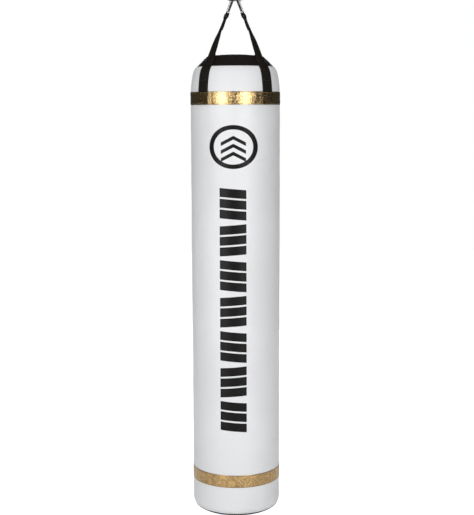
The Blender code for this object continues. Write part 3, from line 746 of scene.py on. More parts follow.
def swell(angle, z):
    """How far the filling pushes the cover out at a place, from about -1 to 1."""
    x, y = math.cos(angle), math.sin(angle)
    broad = noise.noise(Vector((x * 1.1, y * 1.1, z * 3.1)))
    lumps = noise.noise(Vector((x * 2.6 + 7.0, y * 2.6, z * 9.0)))
    rolls = noise.noise(Vector((x * 0.5, y * 0.5 + 3.0, z * 14.0)))
    return 0.6 * broad + 0.35 * lumps + 0.35 * rolls


def fade(value, over):
    """0 at zero, 1 from `over` on, smooth between."""
    share = min(1.0, max(0.0, value / over))
    return share * share * (3 - 2 * share)


def pinch(z):
    """The cover drawn in beside each sewn band: 1 at the band, fading to 0 away from it."""
    nearest = min(abs(z - UPPER_SEAM_Z), abs(z - LOWER_SEAM_Z)) - BAND_HALF
    return math.exp(-max(0.0, nearest) / (14 * MM))


def shoulder_inset(z):
    share = max(0.0, (z - WHITE_TOP_Z) / sizes().shoulder_depth + 1)
    return (BAG_RADIUS - COLLAR_FOOT_RADIUS - TUCK_GAP) * (0.6 * share**1.5 + 0.4 * share**8)


def cover_radius(angle, z):
    """The cover's outer radius above the bottom corner."""
    calm = (1 - pinch(z)) * fade(WHITE_TOP_Z - z, 40 * MM) * fade(z - CORNER_Z, 60 * MM)
    return BAG_RADIUS - shoulder_inset(z) + sizes().bulge * swell(angle, z) * calm - 0.5 * MM * pinch(z)


def corner_point(angle, share):
    """Radius, height and slope of the bottom corner: share 0 at its upper end, 1 at the flat bottom."""
    turn = math.radians(90 * share)
    radius = sizes().corner
    ripple = 0.4 * MM * noise.noise(Vector((math.cos(angle) * 5, math.sin(angle) * 5, share * 3)))
    reach = radius + ripple * fade(share, 0.3)
    out, down = math.cos(turn), math.sin(turn)
    return BAG_RADIUS - radius + reach * out, BOTTOM_Z + radius - reach * down, out, -down


def heights_between(top, bottom, step):
    count = math.ceil((top - bottom) / step)
    return [top + (bottom - top) * i / count for i in range(count + 1)]


def cover_wall(name, heights, corner_shares=()):
    """A white panel through these heights, then round the bottom corner to each share of it."""

    def outer(angle, i):
        if i < len(heights):
            return cover_radius(angle, heights[i]), heights[i], 1.0, 0.0
        return corner_point(angle, corner_shares[i - len(heights)])

    shape = shell_of(outer, len(heights) + len(corner_shares), COLUMNS, sizes().vinyl)
    soft_piece(f"{name}_cover", shape, "white_vinyl", white_vinyl(), name)


def white_panels():
    cover_wall("shoulder_panel", heights_between(WHITE_TOP_Z, UPPER_SEAM_Z + SEAM_GAP, 3 * MM))
    cover_wall("main_panel", heights_between(UPPER_SEAM_Z - SEAM_GAP, LOWER_SEAM_Z + SEAM_GAP, 6 * MM))
    shares = [BLACK_SHARE * (i + 1) / 6 * 0.97 for i in range(6)]
    cover_wall("lower_panel", heights_between(LOWER_SEAM_Z - SEAM_GAP, CORNER_Z, 5 * MM), shares)
    z = WHITE_TOP_Z - 4 * MM
    shape = ring_stitches(lambda angle: cover_radius(angle, z), z)
    piece("shoulder_stitching", *shape, "bag", "white_vinyl", thread_white())


def bottom_height(angle, radius):
    """The flat bottom sags a little and is quilted by its own stitched ring."""
    x, y = math.cos(angle) * radius, math.sin(angle) * radius
    lumps = noise.noise(Vector((x * 16, y * 16, 3.0)))
    edge = fade(BAG_RADIUS - sizes().corner - 2 * MM - radius, 20 * MM)
    patch = fade(radius - 52 * MM, 20 * MM)
    return BOTTOM_Z + 0.5 * MM * lumps * edge * patch


def bottom():
    """The black end cap: round the corner, then flat."""
    start = BLACK_SHARE * 1.05
    shares = [start + (1 - start) * i / 10 for i in range(11)]
    corner = sizes().corner
    radii = [(BAG_RADIUS - corner) * (1 - (i + 1) / 30) for i in range(30)]

    def outer(angle, i):
        if i < len(shares):
            return corner_point(angle, shares[i])
        radius = radii[i - len(shares)]
        return radius, bottom_height(angle, radius), 0.0, -1.0

    shape = shell_of(outer, len(shares) + len(radii), COLUMNS, sizes().vinyl)
    soft_piece("bottom_cap", shape, "black_vinyl", black_vinyl(), "bottom_panel")
    turn = math.radians(90 * (BLACK_SHARE + 0.12))
    r = BAG_RADIUS - corner + corner * math.cos(turn)
    z = BOTTOM_Z + corner * (1 - math.sin(turn))
    piece("bottom_stitching", *ring_stitches(lambda angle: r, z), "bag", "thread", thread_black())


def piping():
    """The corded bead between the white cover and the black bottom, gathered a little by its stitches."""
    low_z, high_corner = low("bottom_piping").z, high("bottom_piping")
    bead = (high_corner.z - low_z) / 2
    steps = 360
    rings = []
    for i in range(steps):
        angle = math.tau * i / steps
        ripple = 0.02 * noise.noise(Vector((angle * 30, 0, 0)))
        gather = 1 - 0.03 * (1 + math.sin(angle * 180)) - ripple
        out, up = Vector((math.cos(angle), math.sin(angle), 0)), Vector((0, 0, 1))
        centre = out * (high_corner.x - bead) + up * (low_z + bead)
        rings.append([centre + out * a + up * b for a, b in round_section(bead * gather, 14)])
    soft_piece("bottom_bead", closed_rings(rings), "black_vinyl", black_vinyl(), "bottom_piping")


# ---------------------------------------------------------------- gold bands

BAND_THICKNESS = 1.0 * MM
BAND_COLUMNS = 640
BAND_HEM = 4 * MM


def strap_bump(angle):
    """How far a strap under the band lifts it, from 0 beside a strap to 1 over one."""
    half = math.degrees(sizes().webbing_width / 2 / BAG_RADIUS)
    nearest = min(abs((math.degrees(angle) - 45 - 90 * k + 180) % 360 - 180) for k in range(4))
    return 1 - fade(nearest - half + 1.0, 8.0)


def band(name, seam_z, over_straps, crinkle, slot, material):
    """A sewn band: a stitched hem along each edge and a crinkled face."""
    rows = 34
    half = BAND_HALF - 0.1 * MM

    def outer(angle, i):
        z = half * (1 - 2 * i / (rows - 1))
        x, y = math.cos(angle) * BAG_RADIUS, math.sin(angle) * BAG_RADIUS
        fine = abs(noise.noise(Vector((x, y, z)) * 190))
        folds = abs(noise.noise(Vector((x * 80, y * 80, z * 95)))) + 0.3 * fine
        broad = noise.noise(Vector((x * 22, y * 22, z * 30)))
        stitch_line = math.exp(-(((half - BAND_HEM - abs(z)) / (0.9 * MM)) ** 2))
        roll = math.sqrt(max(0.0, 1 - max(0.0, (abs(z) - half + 1 * MM) / (1 * MM)) ** 2))
        lift = (sizes().webbing + 0.3 * MM) * strap_bump(angle) if over_straps else 0.0
        relief = crinkle * (folds + 0.8 * broad) - 0.3 * MM * stitch_line - 0.4 * MM * (1 - roll)
        return BAG_RADIUS + BAND_THICKNESS + 0.2 * MM + lift + relief, seam_z + z, 1.0, 0.0

    shape = shell_of(outer, rows, BAND_COLUMNS, BAND_THICKNESS * 0.7)
    made = soft_piece(f"{name}_cover", shape, slot, material, name)
    # The edge attribute marks the outer few millimetres of each band, where the foil material paints shade.
    edge = made.data.attributes.new("edge", "FLOAT", "POINT")
    near = [half - abs(v.co.z - seam_z) for v in made.data.vertices]
    edge.data.foreach_set("value", [1 - fade(inside - 1.5 * MM, 4.5 * MM) for inside in near])
    lines = []
    for side in (-1, 1):
        row = round((1 - side * (half - BAND_HEM) / half) / 2 * (rows - 1))
        height = seam_z + side * (half - BAND_HEM)
        lines.append(ring_stitches(lambda angle: outer(angle, row)[0], height))
    piece(f"{name}_stitching", *joined(lines), "bag", "gold_thread", thread_gold())


def gold_bands():
    band("upper_gold_band", UPPER_SEAM_Z, True, 0.50 * MM, "gold_foil", gold_foil())
    band("lower_gold_band", LOWER_SEAM_Z, False, 0.22 * MM, "gold_satin", gold_satin())


# ---------------------------------------------------------------- collar, lid and zip

TUCK_GAP = 1.9 * MM
COLLAR_TUCK = 10 * MM
COLLAR_TOP_RADIUS = 112 * MM
COLLAR_DIP = 4.5 * MM
HEM = 7 * MM
LID_SEAM_Y = 10.5 * MM


def collar_shape(angle, share):
    """Radius, height and slope of the collar: share 0 at its top edge, 1 where it meets the white cover."""
    height = COLLAR_Z - WHITE_TOP_Z
    run = COLLAR_FOOT_RADIUS - COLLAR_TOP_RADIUS
    length = math.hypot(height, run)
    out, rise = height / length, run / length
    x, y = math.cos(angle), math.sin(angle)
    gathers = noise.noise(Vector((x * 5.5, y * 5.5, share * 0.8)))
    creases = -abs(noise.noise(Vector((x * 9 + share * 1.4, y * 9, share * 2.2 + 5)))) + 0.3
    slack = noise.noise(Vector((x * 2.2, y * 2.2, share * 1.5 + 9)))
    calm = fade(1 - share, 0.18) * (0.35 + 0.65 * fade(share, 0.3))
    relief = sizes().collar_fold * (0.9 * gathers + 1.1 * creases + 0.6 * slack) * calm
    stitched = math.exp(-(((share * length - HEM) / (1.2 * MM)) ** 2))
    relief -= 0.5 * MM * stitched
    z = COLLAR_Z - height * share + relief * rise - COLLAR_DIP * x * x * (1 - share)
    return COLLAR_TOP_RADIUS + run * share + relief * out, z, out, rise


def collar():
    rows, tucked = 40, 4
    top_drop = 0.012

    def outer(angle, i):
        if i >= rows:
            depth = COLLAR_TUCK * (i - rows + 1) / tucked
            return COLLAR_FOOT_RADIUS, WHITE_TOP_Z - depth, 1.0, 0.0
        return collar_shape(angle, top_drop + (1 - top_drop) * i / (rows - 1))

    shape = shell_of(outer, rows + tucked, 360, sizes().vinyl)
    soft_piece("collar_cover", shape, "black_vinyl", black_vinyl(), "collar")
    height = COLLAR_Z - WHITE_TOP_Z
    share = HEM / math.hypot(height, COLLAR_FOOT_RADIUS - COLLAR_TOP_RADIUS)

    def radius_at(angle):
        return collar_shape(angle, share)[0] + 0.2 * MM

    shape = ring_stitches(radius_at, COLLAR_Z - height * share, COLLAR_DIP * (1 - share))
    piece("collar_stitching", *shape, "bag", "thread", thread_black())


def slot_outline(half_length, half_width, count):
    """Points round a narrow slot, spread by their direction so that they meet a circle evenly."""

    def clipped(value):
        return max(-1.0, min(1.0, value))

    angles = [math.tau * j / count for j in range(count)]
    return [
        (half_length * clipped(1.12 * math.cos(a)), half_width * clipped(9 * math.sin(a))) for a in angles
    ]


def lid_height(x, y, part):
    """The lid's height: a folded welt and a groove along the slot, slack between them and the collar."""
    slack = noise.noise(Vector((x * 18, y * 18, 1.0))) * 1.1 * MM
    welt = 0.35 * MM * math.exp(-(((abs(y) - 6 * MM) / (2.2 * MM)) ** 2))
    groove = 0.3 * MM * math.exp(-(((abs(y) - LID_SEAM_Y) / (1.0 * MM)) ** 2))
    calm = fade(abs(y) - 10 * MM, 25 * MM) * fade(1 - part, 0.12)
    return LID_Z - 0.3 * MM + (slack - 1.6 * MM) * calm + welt - groove


def lid():
    """The round lid with a slot for the zip."""
    rows, columns = 26, 240
    tape = high("zip_tape").x - 8 * MM
    inner = slot_outline(tape + 0.3 * MM, 2.8 * MM, columns)
    share = (COLLAR_Z - LID_Z) / (COLLAR_Z - WHITE_TOP_Z)
    verts = []
    for depth in (0.0, sizes().vinyl):
        for i in range(rows):
            part = (i / (rows - 1)) ** 1.15
            for j, (slot_x, slot_y) in enumerate(inner):
                angle = math.tau * j / columns
                rim = collar_shape(angle, share)[0] - sizes().vinyl * 1.7 - 0.4 * MM
                x = slot_x + (math.cos(angle) * rim - slot_x) * part
                y = slot_y + (math.sin(angle) * rim - slot_y) * part
                verts.append((x, y, lid_height(x, y, part) - depth))
    shape = verts, shell_faces(rows, columns)
    soft_piece("lid_cover", shape, "black_vinyl", black_vinyl(), "top_lid")
    reach, z = tape * 0.98, LID_Z - 0.45 * MM
    rows = [(Vector((-reach, y, z)), Vector((reach, y, z))) for y in (-LID_SEAM_Y, LID_SEAM_Y)]
    seams = [line_stitches(start, end, Vector((0, 0, 1))) for start, end in rows]
    piece("lid_stitching", *joined(seams), "bag", "thread", thread_black())


def zip_cloth():
    """The zip's woven tape, a flat slab with a slightly uneven face."""
    corner, far = low("zip_tape"), high("zip_tape")
    columns, rows = 120, 12
    verts = []
    for z in (min(far.z - 3.0 * MM, corner.z + 0.8 * MM), corner.z):
        for i in range(rows + 1):
            for j in range(columns + 1):
                x = -far.x + 2 * far.x * j / columns
                y = -far.y + 2 * far.y * i / rows
                verts.append((x, y, z + 0.05 * MM * noise.noise(Vector((x * 90, y * 90, 0)))))
    count = (rows + 1) * (columns + 1)
    faces = grid_faces(rows + 1, columns + 1, wrap=False)
    faces += [tuple(count + v for v in face) for face in faces[:]]
    rim = list(range(columns + 1))
    rim += [(i + 1) * (columns + 1) + columns for i in range(rows)]
    rim += [rows * (columns + 1) + columns - 1 - j for j in range(columns)]
    rim += [(rows - 1 - i) * (columns + 1) for i in range(rows - 1)]
    faces += [(a, b, count + b, count + a) for a, b in zip(rim, rim[1:] + rim[:1])]
    tape = cloth_material("zip_cloth", (0.018, 0.017, 0.017), 0.7 * MM)
    soft_piece("zip_cloth", (verts, faces), "zip_tape", tape, "zip_tape")


TOOTH_PITCH = 1.3 * MM
TOOTH_HALF = ((0.5, 2.3), (0.45, 0.4), (0.6, -0.5), (0.25, -0.9))


def zip_teeth():
    """Rows of teeth from both sides of the tape, with a stop at each end."""
    top, base = high("zip_tape").z, low("zip_tape").z + 0.6 * MM
    reach = high("zip_tape").x - 10 * MM
    outline = [(-TOOTH_HALF[0][0], TOOTH_HALF[0][1]), *TOOTH_HALF]
    outline += [(-x, y) for x, y in reversed(TOOTH_HALF[1:])]
    teeth = []
    for i in range(int(2 * reach / TOOTH_PITCH)):
        x = -reach + TOOTH_PITCH * (i + 0.5)
        side = 1 if i % 2 else -1
        rings = []
        for z, scale in ((base, 1.0), (top - 0.35 * MM, 1.0), (top - 0.05 * MM, 0.7)):
            depth = side * MM * (0.9 + 0.1 * scale)
            rings.append([(x + a * MM * scale, depth * b, z) for a, b in outline])
        teeth.append(closed_loft(rings))
    for side in (-1, 1):
        place = side * (reach + 1.8 * MM), 0, (top + base) / 2
        stop = block((2.4 * MM, 4.6 * MM, top - base), place)
        teeth.append(([v.co.copy() for v in stop.vertices], [tuple(p.vertices) for p in stop.polygons]))
    piece("zip_teeth", *joined(teeth), "bag", "zip_metal", zip_metal(), smooth=False)


def bevelled(mesh, width, segments=3, angle=35):
    """A mesh with its sharp edges rounded over."""
    holder = loose(mesh)
    rounding = holder.modifiers.new("round", "BEVEL")
    rounding.width, rounding.segments, rounding.limit_method = width, segments, "ANGLE"
    rounding.angle_limit = math.radians(angle)
    rounding.use_clamp_overlap = True
    return evaluated(holder)


def zip_slider():
    """The zip's slider: a base narrowed to a nose, with a bridge over it."""
    corner, far = low("zip_slider"), high("zip_slider")
    middle_x = (corner.x + far.x) / 2
    length, width = far.x - corner.x, far.y - corner.y
    base_height = 2.6 * MM
    base = block((length, width, base_height), (middle_x, 0, corner.z + base_height / 2))
    cuts = []
    for side in (1, -1):
        place = corner.x - length * 0.08, side * width * 0.78, corner.z
        turn = Matrix.Rotation(side * math.radians(24), 4, "Z")
        cuts.append(("DIFFERENCE", block((length * 0.5, width, base_height * 3), place, turn)))
    base = bevelled(boolean(base, *cuts), 0.6 * MM)
    post, span, half_bridge = 1.6 * MM, 2.4 * MM, 1.5 * MM
    foot_x, foot_z, shoulder_z = span + post / 2, corner.z + base_height * 0.6, far.z - post * 0.9
    right = [(span * 0.7, far.z - post / 2), (foot_x, shoulder_z), (foot_x, foot_z)]
    both = [(-x, z) for x, z in reversed(right)] + right
    path = [Vector((middle_x + x, 0, z)) for x, z in both]
    section = [(-1, -1), (1, -1), (1, 1), (-1, 1)]
    section = [(a * post / 2, b * half_bridge) for a, b in section]
    bridge = mesh_of(swept(path, Vector((0, 1, 0)), section, closed=False))
    whole = bevelled(boolean(base, ("UNION", bridge)), 0.25 * MM, 2)
    finished("zip_slider_body", whole, "zip_slider", "zip_metal", zip_metal(), ("zip_slider",))


def zip_pull():
    """The pull tab: a window, a waist, a hole and four grip grooves."""
    corner, far = low("zip_pull"), high("zip_pull")
    middle, size = (corner + far) / 2, far - corner
    through = 4 * size.z
    cutters = [block((5.2 * MM, 4.2 * MM, through), (far.x - 4.0 * MM, 0, middle.z))]
    for side in (-1, 1):
        place = middle.x + size.x * 0.05, side * (size.y / 2 + 0.35 * MM), middle.z
        cutters.append(block((size.x * 0.3, 2.6 * MM, through), place))
    hole_x = corner.x + 4.2 * MM
    cutters.append(rod(1.7 * MM, (hole_x, 0, middle.z - 5 * MM), (hole_x, 0, middle.z + 5 * MM)))
    for k in range(4):
        place = middle.x - (1.5 + 1.4 * k) * MM, 0, far.z
        cutters.append(block((0.5 * MM, size.y * 0.56, 0.5 * MM), place))
    cuts = [("DIFFERENCE", mesh) for mesh in cutters]
    pull = bevelled(boolean(block(size, middle), *cuts), 0.22 * MM, 2)
    finished("zip_pull_tab", pull, "zip_pull", "zip_metal", zip_metal(), ("zip_pull",))


# ---------------------------------------------------------------- straps

LEAVES_AT = 0.89
HOLE_GAP = 0.30 * MM
BAR_GAP = 0.6 * MM
TURN_FROM = 0.35
TURN_STATIONS = 19
TAIL_STATIONS = 25
TAIL = 62 * MM
HEAD_HALF = 13.0 * MM
FOOT_CORNER = 6.0 * MM
HEAD_CORNER = 12.5 * MM
GATE_FOOT, GATE_LENGTH = 18 * MM, 33 * MM
EYE_RADIUS = 14 * MM
CAGE_FLOOR = 8 * MM
FRONT_HOOK_X, BACK_HOOK_X = 7.5 * MM, 15.3 * MM


def folded_width():
    return sizes().webbing_width / 2 - 0.4 * MM


def strap_azimuth(sides):
    return math.atan2(sides[1], sides[0])


def strap_out(sides):
    angle = strap_azimuth(sides)
    return Vector((math.cos(angle), math.sin(angle), 0))


def on_cover(sides, z):
    """A strap's middle line where it lies on the cover."""
    lift = 0.3 * MM + sizes().webbing / 2
    return strap_out(sides) * (cover_radius(strap_azimuth(sides), z) + lift) + Vector((0, 0, z))


def leaving_height():
    return WHITE_TOP_Z - sizes().shoulder_depth * (1 - LEAVES_AT)


def hook_frame(sides):
    """The hook's axes and place: X across it, Z up to the D-ring, origin in its foot bar."""
    x = sides[0] * (FRONT_HOOK_X if sides[1] < 0 else BACK_HOOK_X)
    bar = Vector((x, 0, RING_BAR_Z))
    leave_z = leaving_height()
    flat = BAG_RADIUS - shoulder_inset(leave_z) + 0.3 * MM + sizes().webbing / 2
    up = (bar - strap_out(sides) * flat - Vector((0, 0, leave_z))).normalized()
    across = Vector((0, sides[1], 0))
    across = (across - across.dot(up) * up).normalized()
    turn = Matrix((across, up.cross(across), up)).transposed().to_4x4()
    reach = sizes().hook_height - sizes().hook_wire - BAR_GAP - sizes().ring_wire
    return Matrix.Translation(bar - up * reach) @ turn


def folded_section(width, thickness, fold):
    """The webbing's cross-section with its outer quarters folded behind it.

    fold runs from 0, flat, to 1, shut. Gives ((across, out), weave position) points round the section.
    """
    bend_radius, half = thickness / 2 + 0.12 * MM, thickness / 2
    angle = math.pi * fold
    inner = width / 4 - 0.2 * MM
    right = [(inner * i / 8, 0.0, 0.0) for i in range(9)]
    turns = 5
    for i in range(1, turns + 1):
        a = angle * i / turns
        slide = 0.0 if fold else 0.4 * MM * i / turns
        right.append((inner + bend_radius * math.sin(a) + slide, bend_radius * (math.cos(a) - 1), a))
    x, y, _ = right[-1]
    wing = width / 2 - inner - bend_radius * angle - 0.6 * MM * fold
    for i in range(1, 8):
        reach = wing * i / 7
        right.append((x + reach * math.cos(angle), y - reach * math.sin(angle), angle))
    lift = bend_radius * (1 - math.cos(angle)) / 2
    line = [(-x, y + lift, -a) for x, y, a in reversed(right[1:])]
    line += [(x, y + lift, a) for x, y, a in right]
    lengths = [0.0]
    for p, q in zip(line, line[1:]):
        lengths.append(lengths[-1] + math.hypot(q[0] - p[0], q[1] - p[1]))
    middle = lengths[-1] / 2
    front, back = [], []
    for (x, y, a), s in zip(line, lengths):
        thin = half * (0.75 if s in (lengths[0], lengths[-1]) else 1.0)
        across, out = thin * math.sin(a), thin * math.cos(a)
        front.append(((x + across, y + out), s - middle))
        back.append(((x - across, y - out), s - middle))
    ends = []
    for (x, y, a), s, way in ((line[-1], middle, 1), (line[0], -middle, -1)):
        ends.append(((x + way * math.cos(a) * half * 0.5, y - way * math.sin(a) * half * 0.5), s))
    return [*front, ends[0], *reversed(back), ends[1]]


def strap_stations(sides):
    """(centre, across, out, fold, bend) up the cover, up to the hook, round its bar and back down."""
    across_low = Vector((0, 0, 1)).cross(strap_out(sides))
    foot_z = UPPER_SEAM_Z + BAND_HALF - 45 * MM
    stations = []
    for z in reversed(heights_between(leaving_height(), foot_z, 4 * MM)):
        ahead = on_cover(sides, z + 0.5 * MM) - on_cover(sides, z - 0.5 * MM)
        out = across_low.cross(ahead).normalized()
        stations.append((on_cover(sides, z), across_low, out, 0.0, 1 / BAG_RADIUS))
    frame_here = hook_frame(sides)
    axes = frame_here.to_3x3()
    foot, up, across_high = frame_here.translation, axes.col[2].copy(), axes.col[0].copy()
    if across_high.dot(across_low) < 0:
        across_high = -across_high
    start = stations[-1][0]
    ply = sizes().webbing + 0.12 * MM
    bar_turn = sizes().hook_wire + HOLE_GAP + ply
    leg = ply + 0.15 * MM
    length = (foot - start).length

    def place(share):
        """The middle between the strap's two legs, its crosswise and outward directions and its fold."""
        across = across_low.lerp(across_high, fade(share - TURN_FROM, 1 - TURN_FROM))
        across = (across - across.dot(up) * up).normalized()
        return start.lerp(foot, share), across, across.cross(up), fade(share, 0.5)

    def leg_offset(distance):
        return leg + (bar_turn - leg) * (1 - fade(distance, 15 * MM))

    steps = 54
    for i in range(1, steps):
        share = i / steps
        centre, across, out, fold = place(share)
        offset = leg_offset((1 - share) * length) * fade(share - 0.25, 0.3)
        bend = (1 - fade(share, 0.35)) / BAG_RADIUS
        stations.append((centre + out * offset, across, out, fold, bend))
    across, out = across_high, across_high.cross(up)
    for i in range(TURN_STATIONS):
        a = math.pi * i / (TURN_STATIONS - 1)
        turned_out = out * math.cos(a) + up * math.sin(a)
        stations.append((foot + turned_out * bar_turn, across, turned_out, 1.0, 0.0))
    for i in range(1, TAIL_STATIONS + 1):
        distance = TAIL * i / TAIL_STATIONS
        centre, across, out, _ = place(1 - distance / length)
        stations.append((centre - out * leg_offset(distance), across, -out, 1.0, 0.0))
    return stations


def woven_piece(name, verts, faces, weave, node):
    """A webbing piece whose weave runs by the (across, along, 0) given for each of its points."""
    mesh = raw_mesh(name, verts, faces)
    attribute = mesh.attributes.new("weave", "FLOAT_VECTOR", "POINT")
    attribute.data.foreach_set("vector", [c for place in weave for c in place])
    made = finished(name, mesh, "bag", "black_webbing", webbing_material(), (node,), sharp_deg=60)


def strap(tag, sides):
    sections, weave = [], []
    along, before = 0.0, None
    for centre, across, out, fold, bend in strap_stations(sides):
        if before is not None:
            along += (centre - before).length
        before = centre
        fray = 0.12 * MM * noise.noise(Vector((along * 300, sides[0], sides[1])))
        ring = []
        for (a, b), s in folded_section(sizes().webbing_width + fray, sizes().webbing, fold):
            ring.append(centre + across * a + out * (b - bend * a * a / 2))
            weave.append((s, along, 0.0))
        sections.append(ring)
    woven_piece(f"strap_{tag}_webbing", *closed_loft(sections), weave, f"strap_{tag}")
    strap_stitching(tag, sides)


def line_stitches(start, end, out):
    total = (end - start).length
    spans = [(start, end)]
    if total >= sizes().stitch:
        spans = stitch_spans(lambda length: start.lerp(end, min(1.0, length / total)), total)
    return stitches(spans, [out] * len(spans))


def strap_stitching(tag, sides):
    """Edge rows and a crossed box where the strap is sewn down, and bar tacks where it doubles back."""
    rows = []
    across = Vector((0, 0, 1)).cross(strap_out(sides))

    def on_strap(s, z):
        ahead = on_cover(sides, z + 0.5 * MM) - on_cover(sides, z - 0.5 * MM)
        out = across.cross(ahead).normalized()
        rise = sizes().webbing / 2 - s * s / 2 / BAG_RADIUS
        return on_cover(sides, z) + across * s + out * rise, out

    low_z, high_z = UPPER_SEAM_Z + BAND_HALF + 3 * MM, leaving_height() - 2 * MM
    edge = sizes().webbing_width / 2 - 4 * MM
    box_low = high_z - 2 * edge
    lines = [((s, low_z), (s, high_z)) for s in (-edge, edge)]
    lines += [((-edge, z), (edge, z)) for z in (box_low, high_z)]
    lines += [((-edge, box_low), (edge, high_z)), ((edge, box_low), (-edge, high_z))]
    for (s0, z0), (s1, z1) in lines:
        total = math.hypot(s1 - s0, z1 - z0)
        count = max(1, int(total / (sizes().stitch + sizes().stitch_gap)))
        reach = sizes().stitch / total
        for i in range(count):
            shares = i / count, i / count + reach
            (a, out), (b, _) = [on_strap(s0 + (s1 - s0) * t, z0 + (z1 - z0) * t) for t in shares]
            rows.append(stitches([(a, b)], [out]))
    stations = strap_stations(sides)
    last_up = len(stations) - TAIL_STATIONS - TURN_STATIONS
    half = folded_width() / 2 - 1.6 * MM
    for tack in (9, 13, 24):
        centre, across_here, out, _, _ = stations[last_up - tack]
        ahead = (stations[last_up - tack + 1][0] - centre).normalized()
        middle = centre + out * (sizes().webbing + 0.06 * MM)
        for k in range(15):
            s0, s1 = half * (2 * k / 15 - 1), half * (2 * (k + 1) / 15 - 1)
            zig = ahead * (1.4 * MM * (1 if k % 2 else -1))
            rows.append(stitches([(middle + across_here * s0 + zig, middle + across_here * s1 - zig)], [out]))
    piece(f"strap_{tag}_stitching", *joined(rows), "bag", "thread", thread_black())


# ---------------------------------------------------------------- hooks, D-ring and swivel


def hook_side_x(height):
    foot_half = folded_width() / 2 + FOOT_CORNER - 0.5 * MM
    return foot_half + (HEAD_HALF - foot_half) * height / sizes().hook_height


def gate_ends():
    return tuple(Vector((hook_side_x(z), 0, z)) for z in (GATE_FOOT, GATE_FOOT + GATE_LENGTH))


def hook_mesh():
    """A forged open loop of round bar with a slotted end for its gate."""
    pivot, nose = gate_ends()
    along = (nose - pivot).normalized()
    tip, end = pivot + along * 2.4 * MM, nose + along * 0.5 * MM
    foot_half, height = hook_side_x(0), sizes().hook_height
    corners = [(tip.x, tip.z), (foot_half, 0), (-foot_half, 0)]
    corners += [(-HEAD_HALF, height), (HEAD_HALF, height), (end.x, end.z)]
    flat = rounded(corners, [FOOT_CORNER, FOOT_CORNER, HEAD_CORNER, HEAD_CORNER], 14)
    path = resampled([Vector((p.x, 0, p.y)) for p in flat], 2.5 * MM)
    bar = mesh_of(swept(path, Vector((0, 1, 0)), round_section(sizes().hook_wire, 24), closed=False))
    slot = block((12 * MM, 3.0 * MM, 9.4 * MM), (pivot.x, 0, pivot.z + 0.7 * MM))
    hole = rod(1.4 * MM, pivot - Vector((0, 10 * MM, 0)), pivot + Vector((0, 10 * MM, 0)))
    notch = block((3.2 * MM, 1.4 * MM, 2.4 * MM), end)
    return bevelled(boolean(bar, *[("DIFFERENCE", mesh) for mesh in (slot, hole, notch)]), 0.35 * MM)


def gate_mesh():
    """The sprung gate: a round bar with a flat tongue on the rivet and a thumb groove."""
    pivot, nose = gate_ends()
    length, radius, foot = (nose - pivot).length, 2.6 * MM, 4.0 * MM
    bar = rod(radius, (0, 0, foot), (0, 0, length - 0.1 * MM), 28)
    tongue = rod(2.2 * MM, (0, -1.15 * MM, 0), (0, 1.15 * MM, 0), 28)
    web = block((4.4 * MM, 2.3 * MM, foot + 2 * MM), (0, 0, (foot + 2 * MM) / 2))
    cutters = [rod(1.4 * MM, (0, -10 * MM, 0), (0, 10 * MM, 0))]
    for k in range(4):
        place = radius + 0.1 * MM, 0, length * 0.62 + k * 1.5 * MM
        cutters.append(block((1.0 * MM, 6 * MM, 0.6 * MM), place))
    cuts = [("DIFFERENCE", mesh) for mesh in cutters]
    return bevelled(boolean(bar, ("UNION", web), ("UNION", tongue), *cuts), 0.3 * MM)


def rivet_mesh():
    """The gate's pin with a domed head at each side, lying along Y."""
    head, reach, pin = 1.9 * MM, 3.3 * MM, 1.1 * MM
    dome = [(head * math.cos(a), reach + 0.6 * MM * math.sin(a)) for a in (0, 0.5, 1.0, 1.35, math.pi / 2)]
    half = [(pin, reach), *dome]
    rings = [(r, -y) for r, y in reversed(half)] + [(pin, 0.0)] + half
    verts = [(x, y, z) for r, y in rings for x, z in round_section(r, 28)]
    return mesh_of((verts, grid_faces(len(rings), 28)))


def hooks():
    pivot, nose = gate_ends()
    direction = (nose - pivot).normalized()
    at_pivot = Matrix.Translation(pivot)
    gate_turn = at_pivot @ Matrix.Rotation(math.atan2(direction.x, direction.z), 4, "Y")
    hook, gate, rivet = hook_mesh(), gate_mesh(), rivet_mesh()
    for tag, sides in CORNERS.items():
        place = hook_frame(sides)
        parts = (
            (f"hook_{tag}", "bar", "bag", hook, place),
            (f"gate_{tag}", "bar", f"gate_{tag}", gate, place @ gate_turn),
            (f"rivet_{tag}", "pin", "bag", rivet, place @ at_pivot),
        )
        for node, kind, body, mesh, matrix in parts:
            copy = mesh.copy()
            copy.transform(matrix)
            finished(f"{node}_{kind}", copy, body, "hook_chrome", chrome(), (node,), sharp_deg=50)


def d_path(half, corner):
    """A D centred on its straight bar, which lies at height 0."""
    left = arc((-half + corner, corner), corner, 180, 270, 10)
    right = arc((half - corner, corner), corner, 270, 360, 10)
    bow = arc((0, corner), half, 0, 180, 56)
    return left + right + bow[1:-1]


def welded_ring(path, normal, radius, weld_at):
    """A closed bar of round section with a low weld where its ends meet."""
    points = resampled(path + [path[0]], 3 * MM)[:-1]
    shape = swept(points, normal, round_section(radius, 24), closed=True)
    verts = []
    for i, point in enumerate(points):
        near = (point - weld_at).length
        swollen = 1 + 0.07 * math.exp(-((near / (2.2 * MM)) ** 2))
        verts += [point + (v - point) * swollen for v in shape[0][i * 24:(i + 1) * 24]]
    return verts, shape[1]


